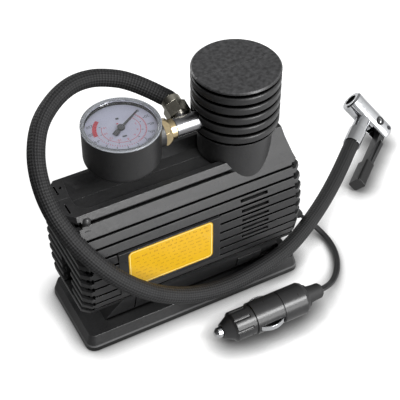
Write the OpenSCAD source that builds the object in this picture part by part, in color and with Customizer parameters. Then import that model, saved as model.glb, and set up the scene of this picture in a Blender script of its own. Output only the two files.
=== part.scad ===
// Portable tire inflator: a 12 V piston compressor in a ribbed two-part housing on a base, with a
// pressure gauge, an air hose with a lever chuck, and a power cord with an accessory-socket plug.
// X runs along the housing towards the cylinder tower, Z is up, and the label side faces -Y.

/* [Base] */
// How far the lip stands out past each end of the housing
base_past = 0.85; // [0.4:0.05:2]
// How far the lip stands out past each side of the housing
base_out = 0; // [0:0.1:1.5]
// Height of the lip that stands on the floor
lip_h = 3; // [2:0.2:4]
// Height of the ledge round the pedestal
ledge_h = 11; // [9:0.5:13]
// How far the skirt leans in between lip and ledge
skirt_lean = 2.6; // [1:0.2:4]
// Width of the pedestal at its foot
pedestal_w = 38; // [35:0.5:42]
// Height of the underside of the housing above the floor
body_z = 28.8; // [26:0.2:32]
// Wall of the base
base_wall = 2.4; // [1.8:0.1:3]
// Thickness of the ribs under the base
base_rib = 1.6; // [1.2:0.1:2.2]

/* [Housing] */
// Length of the housing
housing_len = 150.5; // [148:0.5:156]
// Width of the housing at its widest band
housing_w = 61.2; // [58:0.2:66]
// Wall of the housing
wall = 2.2; // [1.6:0.1:2.8]
// Chamfer on the four upright corners
corner = 4.6; // [3:0.2:6]
// Width of the thin grooves along the sides
groove_w = 1.6; // [0.8:0.1:2]
// Depth of the thin grooves
groove_d = 1.5; // [0.6:0.1:1.7]
// Width of the deep grooves round the two ends
end_groove_w = 4.2; // [2:0.2:4.4]
// Depth of the deep grooves round the two ends
end_groove_d = 2.4; // [1:0.1:2.5]
// Depth of the pocket in the deck
pocket_d = 4; // [2:0.5:5]
// Half-width of the pocket in the deck
pocket_hw = 13.5; // [11:0.5:14.5]
// Number of cooling slots on each side
vents = 5; // [3:1:5]
// Length of a cooling slot
vent_len = 19; // [12:1:24]
// Height of a cooling slot
vent_h = 2.3; // [1:0.1:2.6]
// Length of the flat place for the label
pad_len = 67; // [60:1:75]

/* [Tower] */
// Place of the tower's axis along the housing
tower_x = 41; // [38:0.5:43]
// Radius over the cooling ribs
tower_r = 26.5; // [25.4:0.1:27]
// Radius of the plain boss under the ribs
boss_r = 22.6; // [22.3:0.1:23.2]
// Height of the whole, from the floor to the tower's top
total_h = 160; // [157:1:165]
// Pitch of the cooling ribs
rib_pitch = 7.1; // [6.5:0.1:7.2]
// Height of one cooling rib
rib_h = 4.9; // [3.6:0.1:5.2]
// Depth of the grooves between the ribs
rib_d = 3; // [1.5:0.1:3.1]
// Number of grooves round the tower
tower_grooves = 6; // [4:1:6]

/* [Pump] */
// Radius of the cylinder bore
bore_r = 11; // [10:0.2:11.4]
// Radius of the crank throw, half the stroke
throw = 10; // [8:0.5:10.5]
// Distance from the big end to the piston crown
rod_len = 44; // [42:0.5:46]
// Radius of the motor
motor_r = 17; // [15.5:0.5:17.4]
// Length of the motor's can
motor_len = 52; // [46:1:54]
// Height of the motor's axis above the housing's underside
motor_rise = 20.2; // [19.8:0.1:21]
// Gear module
gear_m = 0.75; // [0.75:0.01:0.76]
// Teeth of the motor pinion
pinion_n = 10; // [10:1:11]
// Teeth of the drive gear
gear_n = 38; // [36:1:38]
// Thickness of the gear plate
plate_t = 4; // [3:0.5:4]
// Radius of the motor shaft
motor_shaft_r = 1.585; // [1.4:0.005:1.8]
// Radius of the crank shaft
crank_shaft_r = 3; // [2.5:0.1:3.5]
// Running clearance of every shaft in its bush
run = 0.04; // [0.02:0.01:0.08]

/* [Gauge] */
// Place of the gauge's axis along the housing
gauge_x = -32.8; // [-34:0.1:-30.5]
// Radius of the gauge
gauge_r = 22.7; // [22.4:0.1:23.8]
// Depth of the gauge case below the air line
gauge_drop = 10.6; // [9.6:0.2:12]
// Height of the gauge's top above the air line
gauge_rise = 17.1; // [16:0.1:18]
// Lean of the gauge towards the reader
gauge_tilt = 2; // [0:0.5:3]
// Wall of the gauge case
gauge_wall = 2; // [1.4:0.1:2.4]
// Travel of the pointer from rest to full scale
pointer_travel = 245; // [180:5:280]

/* [Air line] */
// Radius of the chromed outlet tube
tube_r = 5.8; // [5.4:0.1:6.2]
// Distance from the tower's axis to the hose branch
branch_back = 33.5; // [33:0.5:34]
// Upward tilt of the hose branch
branch_tilt = 15; // [12:1:18]
// Width across the flats of the hose nut
hose_nut_af = 13; // [12:0.5:14]
// Width across the flats of the gauge nut
gauge_nut_af = 15; // [14:0.5:16]

/* [Hose and chuck] */
// Diameter of the braided hose
hose_d = 10.6; // [10:0.2:10.8]
// Diameter of the chuck's head
chuck_d = 16.4; // [15.6:0.2:17]
// Length of the ferrule and neck between hose and head
neck_len = 34; // [33:1:36]
// Length of the head in front of the neck's axis
mouth_len = 16.5; // [15:0.5:18]
// Length of the head behind the neck's axis
back_len = 22; // [21:0.5:23]
// Radius of the tyre valve that the mouth takes
valve_r = 4.1; // [3.8:0.1:4.2]
// Length of the thumb lever from its pin
lever_len = 60; // [54:1:64]
// Swing of the thumb lever
lever_swing = 90; // [60:5:90]

/* [Power cord and plug] */
// Width of the power cord
cord_d = 4.2; // [3.8:0.1:4.4]
// Height of the cord gland above the housing's underside
gland_rise = 6; // [5.6:0.2:8]
// Distance of the cord gland from the middle plane
gland_y = 8; // [6:0.5:14]
// Radius of the plug's barrel
plug_r = 10.5; // [10:0.1:11]
// Length of the plug's barrel
plug_len = 39; // [36:0.5:42]
// Travel of the plug's sprung tip
tip_travel = 3; // [2:0.5:4]
// Travel of the plug's side contacts
contact_travel = 2.6; // [2.4:0.1:3]

/* [Fasteners] */
// Core radius of the housing and base screws
screw_r = 1.3; // [1:0.1:1.5]
// Radius of the screw heads
screw_head_r = 2.7; // [2.2:0.1:3]
// Radial clearance round a screw in its hole
screw_play = 0.3; // [0.1:0.05:0.5]

/* [Hidden] */
$fn = 64;
eps = 0.01;

// The housing's cross-section: height above its underside, and how far the side lies inside the
// widest band. The corners between the straight facets are where the grooves run.
SECTION = [[0, 6.3], [5.7, 3.4], [12.7, 1.2], [19.7, 0.3], [26.7, 0], [33.7, 0], [40.7, 0.4],
    [47.4, 1.8], [54, 4.1], [60.6, 6.7], [70.3, 11], [75.7, 13.5]];
deck_rise = SECTION[len(SECTION) - 1][0];
deck_z = body_z + deck_rise;
half_len = housing_len / 2;
base_len = housing_len + 2 * base_past;
base_w = housing_w + 2 * base_out;
function half_w(z) = housing_w / 2 - lookup(z - body_z, SECTION);

// The sloping shoulder at the tower end, as distance back from the end face and height over the deck
shoulder_foot = [0.3, -16.5];
shoulder_bend = [4.8, -7.5];
shoulder_top = [8.05, 3.5];
shoulder_crest = [9.25, 9.5];
crest_hw = 12.9;
// The groove under the deck, wider than the rest, and the rounding of the cooling ribs
top_groove_w = 2.2;
top_groove_d = 1.8;
rib_round = 1.2;
// The raised panel and the finger notch on the pedestal's sloping face
panel_x = 33;
panel_len = 17;
panel_out = 0.6;
notch_len = 12;
notch_d = 1.4;
panel_h = 9;

// Heights and places of the drive
motor_z = body_z + motor_rise;
gear_distance = gear_m * (pinion_n + gear_n) / 2;
crank_z = motor_z + gear_distance;
pin_z = crank_z + throw;
crown_z = pin_z + rod_len;
bore_top = crown_z + 2;
plate_thick = 1.5;
head_z = bore_top + plate_thick;
line_z = head_z + 4.5;
head_h = 13.5;
head_r = 18;
cylinder_r = 14;
tower_top = total_h;
plate_x = 22;
can_x = plate_x - motor_len;
bell_len = 8;
magnet_t = 4;
magnet_len = motor_len - 20;
pressure = 20;
backlash = 0.12;
plate_hw = 17.5;
gusset_t = 2;
plate_top = 86;
shelf_t = 3;
shelf_end = 57;
gear_x = plate_x + plate_t + 0.8;
gear_w = 4.2;
disc_w = 3;
disc_r = 14;
pin_len = 3.6;
pin_r = 3;
rod_x = tower_x - 3;
rod_w = 6;
tie_at = 11.5;
tie_r = 1.5;
flange_t = 5;

// Label and fasteners
label_w = 56;
label_h = 30;
label_r = 3;
label_t = 0.4;
base_screw_x = 45;
base_screw_y = 13;
post_r = 3.8;
post_h = 12;
HOUSING_SCREWS = [[-66, 9.2], [66, 9.2], [-66, 63.2], [66, 55.2]];
screw_pilot = 10;
screw_seat = 6;
gland_neck = 4.8;
gland_neck_r = 3.2;

// Air line
branch_x = tower_x - branch_back;
tube_end = branch_x - 7.1;
washer_t = 0.4;
collar_end = tube_end - washer_t;
nut_end = collar_end - 3.8;
case_flat = nut_end - 4.3;
stem_r = 4;
branch_r = 4.2;
branch_len = 19;
nut_seat = 6;

// Gauge
case_top = gauge_rise - 1.1;
dial_seat = gauge_rise - 5.5;
movement_top = dial_seat - 1;
rim_r = gauge_r - gauge_wall;
dial_r = rim_r - 0.1;
lens_r = gauge_r + 0.3;
lens_t = 1.7;
gauge_round = 6;
pointer_rest = 33;
pointer_len = 17.4;

// Hose route, from the branch over the housing's left end and along its near side to the chuck
HOSE = [[branch_x, branch_len * cos(branch_tilt), line_z + branch_len * sin(branch_tilt)],
    [3.6, 23.3, 136], [-1.2, 28, 138.5], [-8.8, 34.2, 142],
    [-17.6, 38.9, 145.1], [-30.9, 42.3, 147.8], [-44.7, 41.4, 148.1], [-58.5, 35.6, 145.5],
    [-71, 25.8, 140.5], [-79.4, 13, 132.6], [-83.3, -0.3, 123.1], [-83, -13.5, 111.9],
    [-78.2, -25, 99.2], [-70.9, -33.6, 87.2], [-61, -40.2, 74.3], [-49.8, -44.2, 62.6],
    [-36.8, -46.6, 51.8], [-22.6, -47.2, 42.6], [-7.4, -46.1, 34.9], [8, -43.7, 29.1],
    [24, -40, 24.6], [40, -35.5, 21.3], [55.9, -30.5, 19.2], [71.7, -24, 17.8], [87, -15.9, 17.2],
    [101.8, -7, 17.2], [116, 2.4, 17.6], [130, 12.6, 18.3], [143.2, 23, 19], [154, 31.9, 19.8],
    [162.3, 38.6, 20.4]];
hose_start_dir = [0, cos(branch_tilt), sin(branch_tilt)];
// Strain relief, from the gland's flange down to where the cord leaves it, and its radius there
RELIEF = [[76.7, -8, 34.5], [80, -8, 32.6], [83.7, -7.5, 29.4], [87.4, -6.1, 25.2], [90.8, -4.1, 20.4]];
RELIEF_R = [4, 3.7, 3.4, 3.1, 2.8];
relief_start_dir = [0.95, 0, -0.31];
// Cord route, down behind the hose, under it along the floor and round into the plug's tail
CORD = [[90.8, -4.1, 20.4], [94.2, -2.1, 15.4], [98, -2.2, 11], [101.6, -4.4, 7.1],
    [104.4, -8.6, 4.1], [105.9, -14.4, 2.4], [105.9, -21, 2.2], [104.6, -28.5, 2.2],
    [101.8, -36.2, 2.2], [97.4, -43.6, 2.4], [91.6, -50.2, 3.6], [85, -55.6, 5.9],
    [78.4, -59.4, 8.9], [72.5, -61, 10.5]];
cord_start_dir = [0.56, 0.32, -0.76];

// Chuck: its own frame has X along the hose away from it and Z towards the valve
chuck_yaw = 39;
chuck_pitch = 2.5;
chuck_roll = -47.6;
chuck_dir = [cos(chuck_yaw) * cos(chuck_pitch), sin(chuck_yaw) * cos(chuck_pitch), sin(chuck_pitch)];
lever_back = 18;
lever_gap = 0.4;
seal_r = 6.4;
pin_rad = 1.6;
slot_hw = 4.2;

// Plug: lies on the floor along X with its tail towards +X
plug_y = -61;
plug_z = plug_r;
plug_end = 60;
plug_front = plug_end - plug_len;
tail_len = 12.5;
nose_len = 21;
nose_r = plug_r - 0.9;
tip_r = 3.4;
contact_len = 17;
contact_slot = contact_len + 2;
ring_groove_w = 0.6;
ring_groove_t = 0.4;
contact_rise = 3;

// ---------- helpers for shapes that repeat ----------

function evenly(p, r) = [for (q = p) r];
function unit(v) = v / norm(v);
function along(p, i) = unit(p[min(i + 1, len(p) - 1)] - p[max(i - 1, 0)]);
// A side direction carried along the route, square to it at each point
function carried(p, i, s) = let (t = along(p, i)) unit(s - (s * t) * t);
function sides(p, s, i = 0) = i == len(p) ? [] : let (c = carried(p, i, s)) concat([c], sides(p, c, i + 1));

// A tube swept along a route as one closed solid, with its radius at each point and its end directions
module swept(p, radii, n, first, last) {
    tangents = [for (i = [0 : len(p) - 1]) i == 0 ? first : i == len(p) - 1 ? last : along(p, i)];
    across = sides(p, cross(first, [0, 0, 1]));
    rings = [for (i = [0 : len(p) - 1])
        let (t = tangents[i], s = unit(across[i] - (across[i] * t) * t), u = cross(t, s))
        [for (k = [0 : n - 1]) p[i] + radii[i] * (cos(360 * k / n) * s + sin(360 * k / n) * u)]];
    points = [for (ring = rings) each ring];
    skin = [for (i = [0 : len(p) - 2]) for (k = [0 : n - 1])
        let (a = i * n + k, b = i * n + (k + 1) % n)
        each [[a, b + n, b], [a, a + n, b + n]]];
    start = [for (k = [1 : n - 2]) [0, k, k + 1]];
    end = [for (k = [1 : n - 2]) let (o = (len(p) - 1) * n) [o, o + k + 1, o + k]];
    polyhedron(points, concat(start, skin, end));
}

module along_x(x, y, z) {
    translate([x, y, z]) rotate([0, 90, 0]) children();
}

module rod_x_dir(x0, x1, y, z, r) {
    along_x(x0, y, z) cylinder(h = x1 - x0, r = r);
}

module hexagon(af, h) {
    cylinder(h = h, r = af / sqrt(3), $fn = 6);
}

// An outline in Y and Z drawn out along X
module yz_prism(x0, x1, points) {
    translate([x0, 0, 0]) rotate([90, 0, 90]) linear_extrude(x1 - x0) polygon(points);
}

// An outline in X and Z drawn out along Y
module xz_prism(y0, y1, points) {
    translate([0, y1, 0]) rotate([90, 0, 0]) linear_extrude(y1 - y0) polygon(points);
}

// ---------- base ----------

// The pedestal widens upwards to meet the housing's underside
pedestal_top_hw = half_w(body_z) - 0.3;
face_lean = atan2(pedestal_top_hw - pedestal_w / 2, body_z - ledge_h);

module pedestal(inset, top) {
    left = -half_len + 15.2 + inset;
    right = half_len - 7.2 - inset;
    foot = pedestal_w / 2 - inset;
    brow = pedestal_top_hw - inset;
    low = ledge_h - inset;
    intersection() {
        xz_prism(-housing_w / 2, housing_w / 2,
            [[left, low], [right, low], [right - 8, top], [left + 11, top]]);
        yz_prism(-half_len, half_len, [[-foot, low - 1], [foot, low - 1], [foot, low],
            [brow, body_z], [brow, body_z + 1], [-brow, body_z + 1], [-brow, body_z], [-foot, low]]);
    }
}

// Places its children on the near face of the pedestal: Y goes in, Z runs up the slope
module on_face() {
    translate([0, -pedestal_w / 2, ledge_h]) rotate([face_lean, 0, 0]) children();
}

module skirt(inset) {
    hull() {
        for (x = [-1, 1], y = [-1, 1]) {
            translate([x * (base_len / 2 - 6), y * (base_w / 2 - 6), -eps * sign(inset)])
                cylinder(h = lip_h - inset / 2, r = 6 - inset, $fn = 32);
            translate([x * (base_len / 2 - 6), y * (base_w / 2 - 6), 0])
                cylinder(h = ledge_h - inset, r = 6 - inset - skirt_lean, $fn = 32);
        }
    }
}

module base_ribs() {
    for (y = [-14, 0, 14])
        translate([-base_len / 2 + 8, y - base_rib / 2, lip_h])
            cube([base_len - 16, base_rib, ledge_h - lip_h]);
    for (y = [-14, 0, 14])
        xz_prism(y - base_rib / 2, y + base_rib / 2,
            [[-half_len + 17, ledge_h - eps], [half_len - 9, ledge_h - eps],
                [half_len - 17, body_z - eps], [-half_len + 28, body_z - eps]]);
    for (x = [-66 : 22 : 66])
        translate([x - base_rib / 2, -base_w / 2 + 4, lip_h])
            cube([base_rib, base_w - 8, ledge_h - lip_h - eps]);
    intersection() {
        pedestal(base_wall / 2, body_z - eps);
        for (x = [-44 : 22 : 44])
            translate([x - base_rib / 2, -housing_w / 2, lip_h])
                cube([base_rib, housing_w, body_z]);
    }
}

module base() {
    color([0.12, 0.12, 0.13])
    difference() {
        union() {
            difference() {
                union() {
                    skirt(0);
                    pedestal(0, body_z);
                    for (m = [0, 1])
                        mirror([0, m, 0]) on_face()
                            translate([panel_x, -panel_out, 4]) cube([panel_len, 2 * panel_out, panel_h]);
                }
                skirt(base_wall);
                pedestal(base_wall, body_z - base_wall);
            }
            base_ribs();
            for (x = [-1, 1], y = [-1, 1])
                translate([x * base_screw_x, y * base_screw_y, lip_h])
                    cylinder(h = body_z - lip_h, r = screw_head_r + 2);
        }
        for (x = [-1, 1], y = [-1, 1])
            translate([x * base_screw_x, y * base_screw_y, -1]) {
                cylinder(h = body_z + 2, r = screw_r + screw_play);
                cylinder(h = body_z - 4.8 + 1, r = screw_head_r + screw_play);
            }
        // seam slit and finger notch in the pedestal's near wall
        on_face() {
            translate([-half_len + 35.2, -1, 1]) cube([0.8, 2, body_z]);
            translate([panel_x + panel_len, -2, 3]) cube([notch_len, 2 + notch_d, panel_h]);
        }
    }
}

module base_screws() {
    color("dimgray")
    for (x = [-1, 1], y = [-1, 1])
        translate([x * base_screw_x, y * base_screw_y, body_z - 4.8]) {
            cylinder(h = 4.8 + post_h - 2, r = screw_r);
            difference() {
                translate([0, 0, -2.2]) cylinder(h = 2.2, r = screw_head_r);
                translate([-2, -0.4, -3]) cube([4, 0.8, 1.8]);
                translate([-0.4, -2, -3]) cube([0.8, 4, 1.8]);
            }
        }
}

// ---------- housing ----------

// The section with its sides moved in, from one height to another
function section_points(inset, z0, z1) =
    let (zs = concat([z0], [for (s = SECTION) if (body_z + s[0] > z0 + eps && body_z + s[0] < z1 - eps)
        body_z + s[0]], [z1]))
    concat([for (z = zs) [half_w(z) - inset, z]],
        [for (i = [len(zs) - 1 : -1 : 0]) [-half_w(zs[i]) + inset, zs[i]]]);

module end_taper(side) {
    hull() {
        translate([side * (half_len - corner) - (side > 0 ? eps : 0), 0, 0])
            yz_prism(0, eps, section_points(0, body_z, deck_z));
        translate([side * half_len - (side > 0 ? eps : 0), 0, 0])
            yz_prism(0, eps, section_points(corner, body_z, deck_z));
    }
}

// Everything left of and under the sloping shoulder at the tower end
module under_shoulder(inset) {
    e = half_len - inset;
    xz_prism(-housing_w, housing_w, [[-half_len - 1, body_z - 1], [e + 1, body_z - 1],
        [e + 1, deck_z + shoulder_foot[1] - 2], [e - shoulder_foot[0], deck_z + shoulder_foot[1]],
        [e - shoulder_bend[0], deck_z + shoulder_bend[1]],
        [e - shoulder_top[0], deck_z + shoulder_top[1]],
        [e - shoulder_crest[0], deck_z + shoulder_crest[1]],
        [e - shoulder_crest[0], tower_top], [-half_len - 1, tower_top]]);
}

module plan_outline(inset, w) {
    h = w - inset;
    l = half_len - inset;
    c = corner - inset * 0.6;
    polygon([[-l, -h + c], [-l + c, -h], [l - c, -h], [l, -h + c], [l, h - c], [l - c, h],
        [-l + c, h], [-l, h - c]]);
}

// A cutter that leaves the plan outline, moved in by its depth, standing at one groove
module groove_ring(z, width, depth) {
    translate([0, 0, z - width / 2])
        linear_extrude(width)
            difference() {
                square([housing_len + 4, housing_w + 4], center = true);
                plan_outline(depth, half_w(z));
            }
}

module end_grooves(z, ends) {
    intersection() {
        groove_ring(z, end_groove_w, end_groove_d);
        for (s = ends)
            translate([s * (half_len + 5), 0, z])
                cube([10 + 2 * corner + 4, housing_w + 4, end_groove_w], center = true);
    }
}

module body_grooves() {
    for (i = [1 : len(SECTION) - 3]) {
        z = body_z + SECTION[i][0];
        groove_ring(z, groove_w, groove_d);
        end_grooves(z, [-1, 1]);
    }
    // the groove under the deck runs out into the tower's boss
    high = body_z + SECTION[len(SECTION) - 2][0];
    end_grooves(high, [-1]);
    intersection() {
        groove_ring(high, top_groove_w, top_groove_d);
        translate([-housing_len, -housing_w, high - 5]) cube([housing_len + tower_x, 2 * housing_w, 10]);
    }
}

// The tower's outside: a plain boss with rounded cooling ribs and a rounded top rim
module tower_outside() {
    top = tower_top;
    lowest = tower_top - 3.1 - rib_pitch * tower_grooves + rib_pitch - (rib_pitch - rib_h) / 2 - 1;
    translate([tower_x, 0, 0]) {
        translate([0, 0, deck_z - 14]) cylinder(h = lowest - deck_z + 14.5, r = boss_r, $fn = 96);
        rotate_extrude($fn = 96) {
            translate([0, lowest]) square([tower_r - rib_d, top - lowest - 1]);
            for (i = [0 : tower_grooves - 2])
                translate([0, top - 3.1 - rib_pitch * (i + 0.5) - rib_h / 2])
                    rib_outline(rib_h);
            translate([0, lowest]) square([tower_r - 1.4, 1]);
            translate([0, top - 3.1 + (rib_pitch - rib_h) / 2])
                polygon([[0, 0], [tower_r - 0.6, 0], [tower_r, 0.6],
                    [tower_r, 0.9], [tower_r - 0.9, 1.8], [0, 1.8]]);
        }
    }
}

module rib_outline(h) {
    square([tower_r - rib_round, h]);
    translate([0, rib_round]) square([tower_r, h - 2 * rib_round]);
    for (z = [rib_round, h - rib_round])
        translate([tower_r - rib_round, z]) circle(r = rib_round, $fn = 32);
}

// The pocket in the deck: rounded and chamfered at the left, with a sloping wall at the back, and
// running out under the tower's boss
module deck_pocket() {
    hull() {
        translate([0, 0, deck_z - pocket_d]) linear_extrude(eps) {
            translate([-half_len + 16, 8 - pocket_hw]) circle(r = 8 - 0.7);
            polygon([[-half_len + 8.7, 1], [-half_len + 15, 8], [tower_x - 12, 8],
                [tower_x - 12, 0.7 - pocket_hw], [-half_len + 16, 0.7 - pocket_hw],
                [-half_len + 8.7, 8 - pocket_hw]]);
        }
        translate([0, 0, deck_z]) linear_extrude(1) {
            translate([-half_len + 16, 8 - pocket_hw]) circle(r = 8);
            polygon([[-half_len + 8, 3], [-half_len + 10, 14.5], [tower_x - 12, 14.5],
                [tower_x - 12, -pocket_hw], [-half_len + 16, -pocket_hw],
                [-half_len + 8, 8 - pocket_hw]]);
        }
    }
}

module vents_cut() {
    for (i = [0 : vents - 1])
        translate([tower_x - 1 - vent_len / 2, -housing_w, body_z + 50.8 - 6.95 * i - vent_h / 2])
            cube([vent_len, 2 * housing_w, vent_h]);
}

module inside_space() {
    z0 = body_z + wall;
    top = deck_z - pocket_d - wall;
    e = half_len - wall;
    difference() {
        intersection() {
            yz_prism(-half_len + wall + end_groove_d * 0.6, half_len - wall - end_groove_d * 0.6,
                section_points(wall + groove_d * 0.6, z0, top));
            xz_prism(-housing_w, housing_w, [[-half_len, z0], [e, z0], [e, deck_z - 19],
                [e - shoulder_bend[0] - 0.8, deck_z - 9], [e - shoulder_top[0], top + 1],
                [-half_len, top + 1]]);
        }
        left_end_hollow(wall);
    }
    translate([tower_x, 0, deck_z - 16])
        cylinder(h = tower_top - 2.4 - deck_z + 16, r = boss_r - 2.1, $fn = 96);
}

// The hollow low in the left end, or the block that walls it
module left_end_hollow(skin) {
    translate([-half_len - 1, -9 - skin, body_z + 3.2 - skin])
        cube([6.4 + skin, 14 + 2 * skin, 25 + 2 * skin]);
}

module screw_boss(s, y0, y1, r) {
    translate([s[0], y0, body_z + s[1]]) rotate([-90, 0, 0]) cylinder(h = y1 - y0, r = r);
}

// The whole housing with its pads, pocket and openings, before it is parted along the middle
module whole_housing() {
    difference() {
        union() {
            difference() {
                union() {
                    intersection() {
                        union() {
                            yz_prism(-half_len + corner, half_len - corner,
                                section_points(0, body_z, deck_z));
                            end_taper(-1);
                            end_taper(1);
                            yz_prism(tower_x, half_len, [[half_w(deck_z - 6), deck_z - 6],
                                [half_w(deck_z), deck_z], [crest_hw, deck_z + shoulder_crest[1]],
                                [-crest_hw, deck_z + shoulder_crest[1]], [-half_w(deck_z), deck_z],
                                [-half_w(deck_z - 6), deck_z - 6]]);
                        }
                        under_shoulder(0);
                    }
                }
                body_grooves();
                deck_pocket();
                left_end_hollow(0);
                // slits beside the deck's left edge
                for (s = [-1, 1])
                    translate([-half_len + 2.6, s * 8.6 - 4, deck_z - 2])
                        cube([1, 8, 3]);
                translate([-half_len + 6.2, 9.6, deck_z - 2]) cylinder(h = 3, r = 1, $fn = 24);
            }
            tower_outside();
            // flat place for the label, and the rounded end of the top band
            translate([-half_len + 23.2, -housing_w / 2, body_z + 13.5])
                cube([pad_len, 6, 34]);
            translate([-half_len + 10, -half_w(deck_z - 4.5) + 2, deck_z - 5.2])
                sphere(r = 3.4, $fn = 32);
        }
        label_outline(0.1, 1);
        inside_space();
        vents_cut();
        rod_x_dir(0, tower_x - 15, 0, line_z, tube_r + 0.3);
        translate([-half_len + 12.6, -half_w(deck_z - 5) - 1, deck_z - 5])
            rotate([-90, 0, 0]) cylinder(h = 4, r = 0.8, $fn = 24);
    }
}

module front_housing() {
    color([0.16, 0.16, 0.17])
    difference() {
        union() {
            intersection() {
                whole_housing();
                translate([-housing_len, -housing_w, 0]) cube([2 * housing_len, housing_w, 2 * total_h]);
            }
            for (s = HOUSING_SCREWS)
                screw_boss(s, -half_w(body_z + s[1]) + wall - 0.9, 0, screw_r + 2.3);
            for (x = [-1, 1])
                translate([x * base_screw_x, -base_screw_y, body_z]) cylinder(h = post_h, r = post_r);
            rod_x_dir(half_len - gland_neck, half_len - wall, -gland_y, body_z + gland_rise,
                gland_neck_r + 2);
        }
        for (s = HOUSING_SCREWS)
            screw_boss(s, -screw_pilot, 1, screw_r + 0.02);
        for (x = [-1, 1])
            translate([x * base_screw_x, -base_screw_y, body_z - 1])
                cylinder(h = post_h, r = screw_r + 0.02);
        rod_x_dir(half_len - gland_neck - 1, half_len + 1, -gland_y, body_z + gland_rise,
            gland_neck_r + 0.05);
    }
}

module rear_housing() {
    color([0.16, 0.16, 0.17])
    difference() {
        union() {
            intersection() {
                whole_housing();
                translate([-housing_len, 0, 0]) cube([2 * housing_len, housing_w, 2 * total_h]);
            }
            for (s = HOUSING_SCREWS)
                screw_boss(s, 0, half_w(body_z + s[1]) - wall + 0.9, screw_head_r + screw_play + 1.25);
            for (x = [-1, 1])
                translate([x * base_screw_x, base_screw_y, body_z]) cylinder(h = post_h, r = post_r);
        }
        for (s = HOUSING_SCREWS) {
            screw_boss(s, -1, housing_w, screw_r + screw_play);
            screw_boss(s, screw_seat, housing_w, screw_head_r + screw_play);
        }
        for (x = [-1, 1])
            translate([x * base_screw_x, base_screw_y, body_z - 1])
                cylinder(h = post_h, r = screw_r + 0.02);
    }
}

module housing_screws() {
    color("dimgray")
    for (s = HOUSING_SCREWS)
        difference() {
            union() {
                screw_boss(s, -screw_pilot + 1, screw_seat, screw_r);
                screw_boss(s, screw_seat, screw_seat + 2.2, screw_head_r);
            }
            translate([s[0] - 0.4, screw_seat + 1.2, body_z + s[1] - 2]) cube([0.8, 2, 4]);
            translate([s[0] - 2, screw_seat + 1.2, body_z + s[1] - 0.4]) cube([4, 2, 0.8]);
        }
}

// A rounded plate on the near side, grown by a margin and standing out of the housing's widest band
module label_outline(grow, out) {
    w = label_w + 2 * grow;
    h = label_h + 2 * grow;
    r = label_r + grow;
    translate([-half_len + 29.2 - grow, -housing_w / 2 + label_t, body_z + 16.5 - grow])
        rotate([90, 0, 0])
            linear_extrude(label_t + out) {
                translate([r, 0]) square([w - 2 * r, h]);
                translate([0, r]) square([w, h - 2 * r]);
                for (x = [r, w - r], y = [r, h - r])
                    translate([x, y]) circle(r = r, $fn = 32);
            }
}

module label_plate() {
    color("gold") label_outline(0, 0);
}

// ---------- motor ----------

module motor_can() {
    color("silver")
    difference() {
        union() {
            rod_x_dir(can_x, plate_x, 0, motor_z, motor_r);
            rod_x_dir(plate_x, plate_x + 2, 0, motor_z, 5);
        }
        rod_x_dir(can_x - 1, plate_x - 1.6, 0, motor_z, motor_r - 1.2);
        rod_x_dir(plate_x - 2, plate_x + 3, 0, motor_z, motor_shaft_r + run);
        for (s = [-1, 1])
            rod_x_dir(plate_x - 2, plate_x + 1, s * 9, motor_z, 1.25);
    }
}

module motor_magnets() {
    color("black")
    for (s = [0, 180])
        along_x(can_x + 6, 0, motor_z)
            rotate([0, 0, s + 20])
                rotate_extrude(angle = 140)
                    translate([motor_r - 1.25 - magnet_t, 0]) square([magnet_t, magnet_len]);
}

module motor_end_bell() {
    color("white")
    difference() {
        union() {
            rod_x_dir(can_x - bell_len, can_x - bell_len + 3, 0, motor_z, motor_r - 3);
            rod_x_dir(can_x - 5, can_x, 0, motor_z, motor_r);
            rod_x_dir(can_x, can_x + 3, 0, motor_z, motor_r - 1.25);
        }
        rod_x_dir(can_x - 5.6, can_x + 4, 0, motor_z, motor_r - 5.5);
        rod_x_dir(can_x - bell_len - 1, can_x, 0, motor_z, motor_shaft_r + run);
    }
}

module armature() {
    color("indianred") {
        rod_x_dir(can_x - bell_len + 0.6, gear_x + gear_w, 0, motor_z, motor_shaft_r);
        rod_x_dir(can_x + 1, can_x + 6, 0, motor_z, 5);
        difference() {
            rod_x_dir(can_x + 10, can_x + 38, 0, motor_z, motor_r - 6.2);
            for (a = [0 : 72 : 288])
                along_x(can_x + 9, 0, motor_z)
                    rotate([0, 0, a]) translate([motor_r - 9.5, -0.8, 0]) cube([5, 1.6, 40]);
        }
    }
}

// ---------- gears ----------

function involute_turn(rb, r) = let (t = acos(min(1, rb / r))) (tan(t) * 180 / PI - t);
// Half the angle of a tooth at a radius
function tooth_half(n, r) = let (rp = gear_m * n / 2, rb = rp * cos(pressure))
    90 / n - (backlash / 2) / rp * 180 / PI + involute_turn(rb, rp) - involute_turn(rb, max(r, rb));

module gear_outline(n, tip, root, turn) {
    rb = gear_m * n / 2 * cos(pressure);
    low = max(rb, root + 0.05);
    radii = [root, low, (low + tip) / 2 - 0.1, (low + 2 * tip) / 3, tip];
    polygon([for (i = [0 : n - 1])
        let (a = 360 * i / n + turn)
        each concat(
            [for (r = radii) let (h = a - tooth_half(n, r)) r * [cos(h), sin(h)]],
            [for (k = [4 : -1 : 0]) let (r = radii[k], h = a + tooth_half(n, r)) r * [cos(h), sin(h)]])]);
}

module pinion() {
    rp = gear_m * pinion_n / 2;
    color("gold")
    along_x(gear_x - 0.4, 0, motor_z)
        linear_extrude(gear_w + 0.2)
            difference() {
                gear_outline(pinion_n, rp + gear_m, rp - 1.1 * gear_m, 180);
                circle(r = motor_shaft_r);
            }
}

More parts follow.
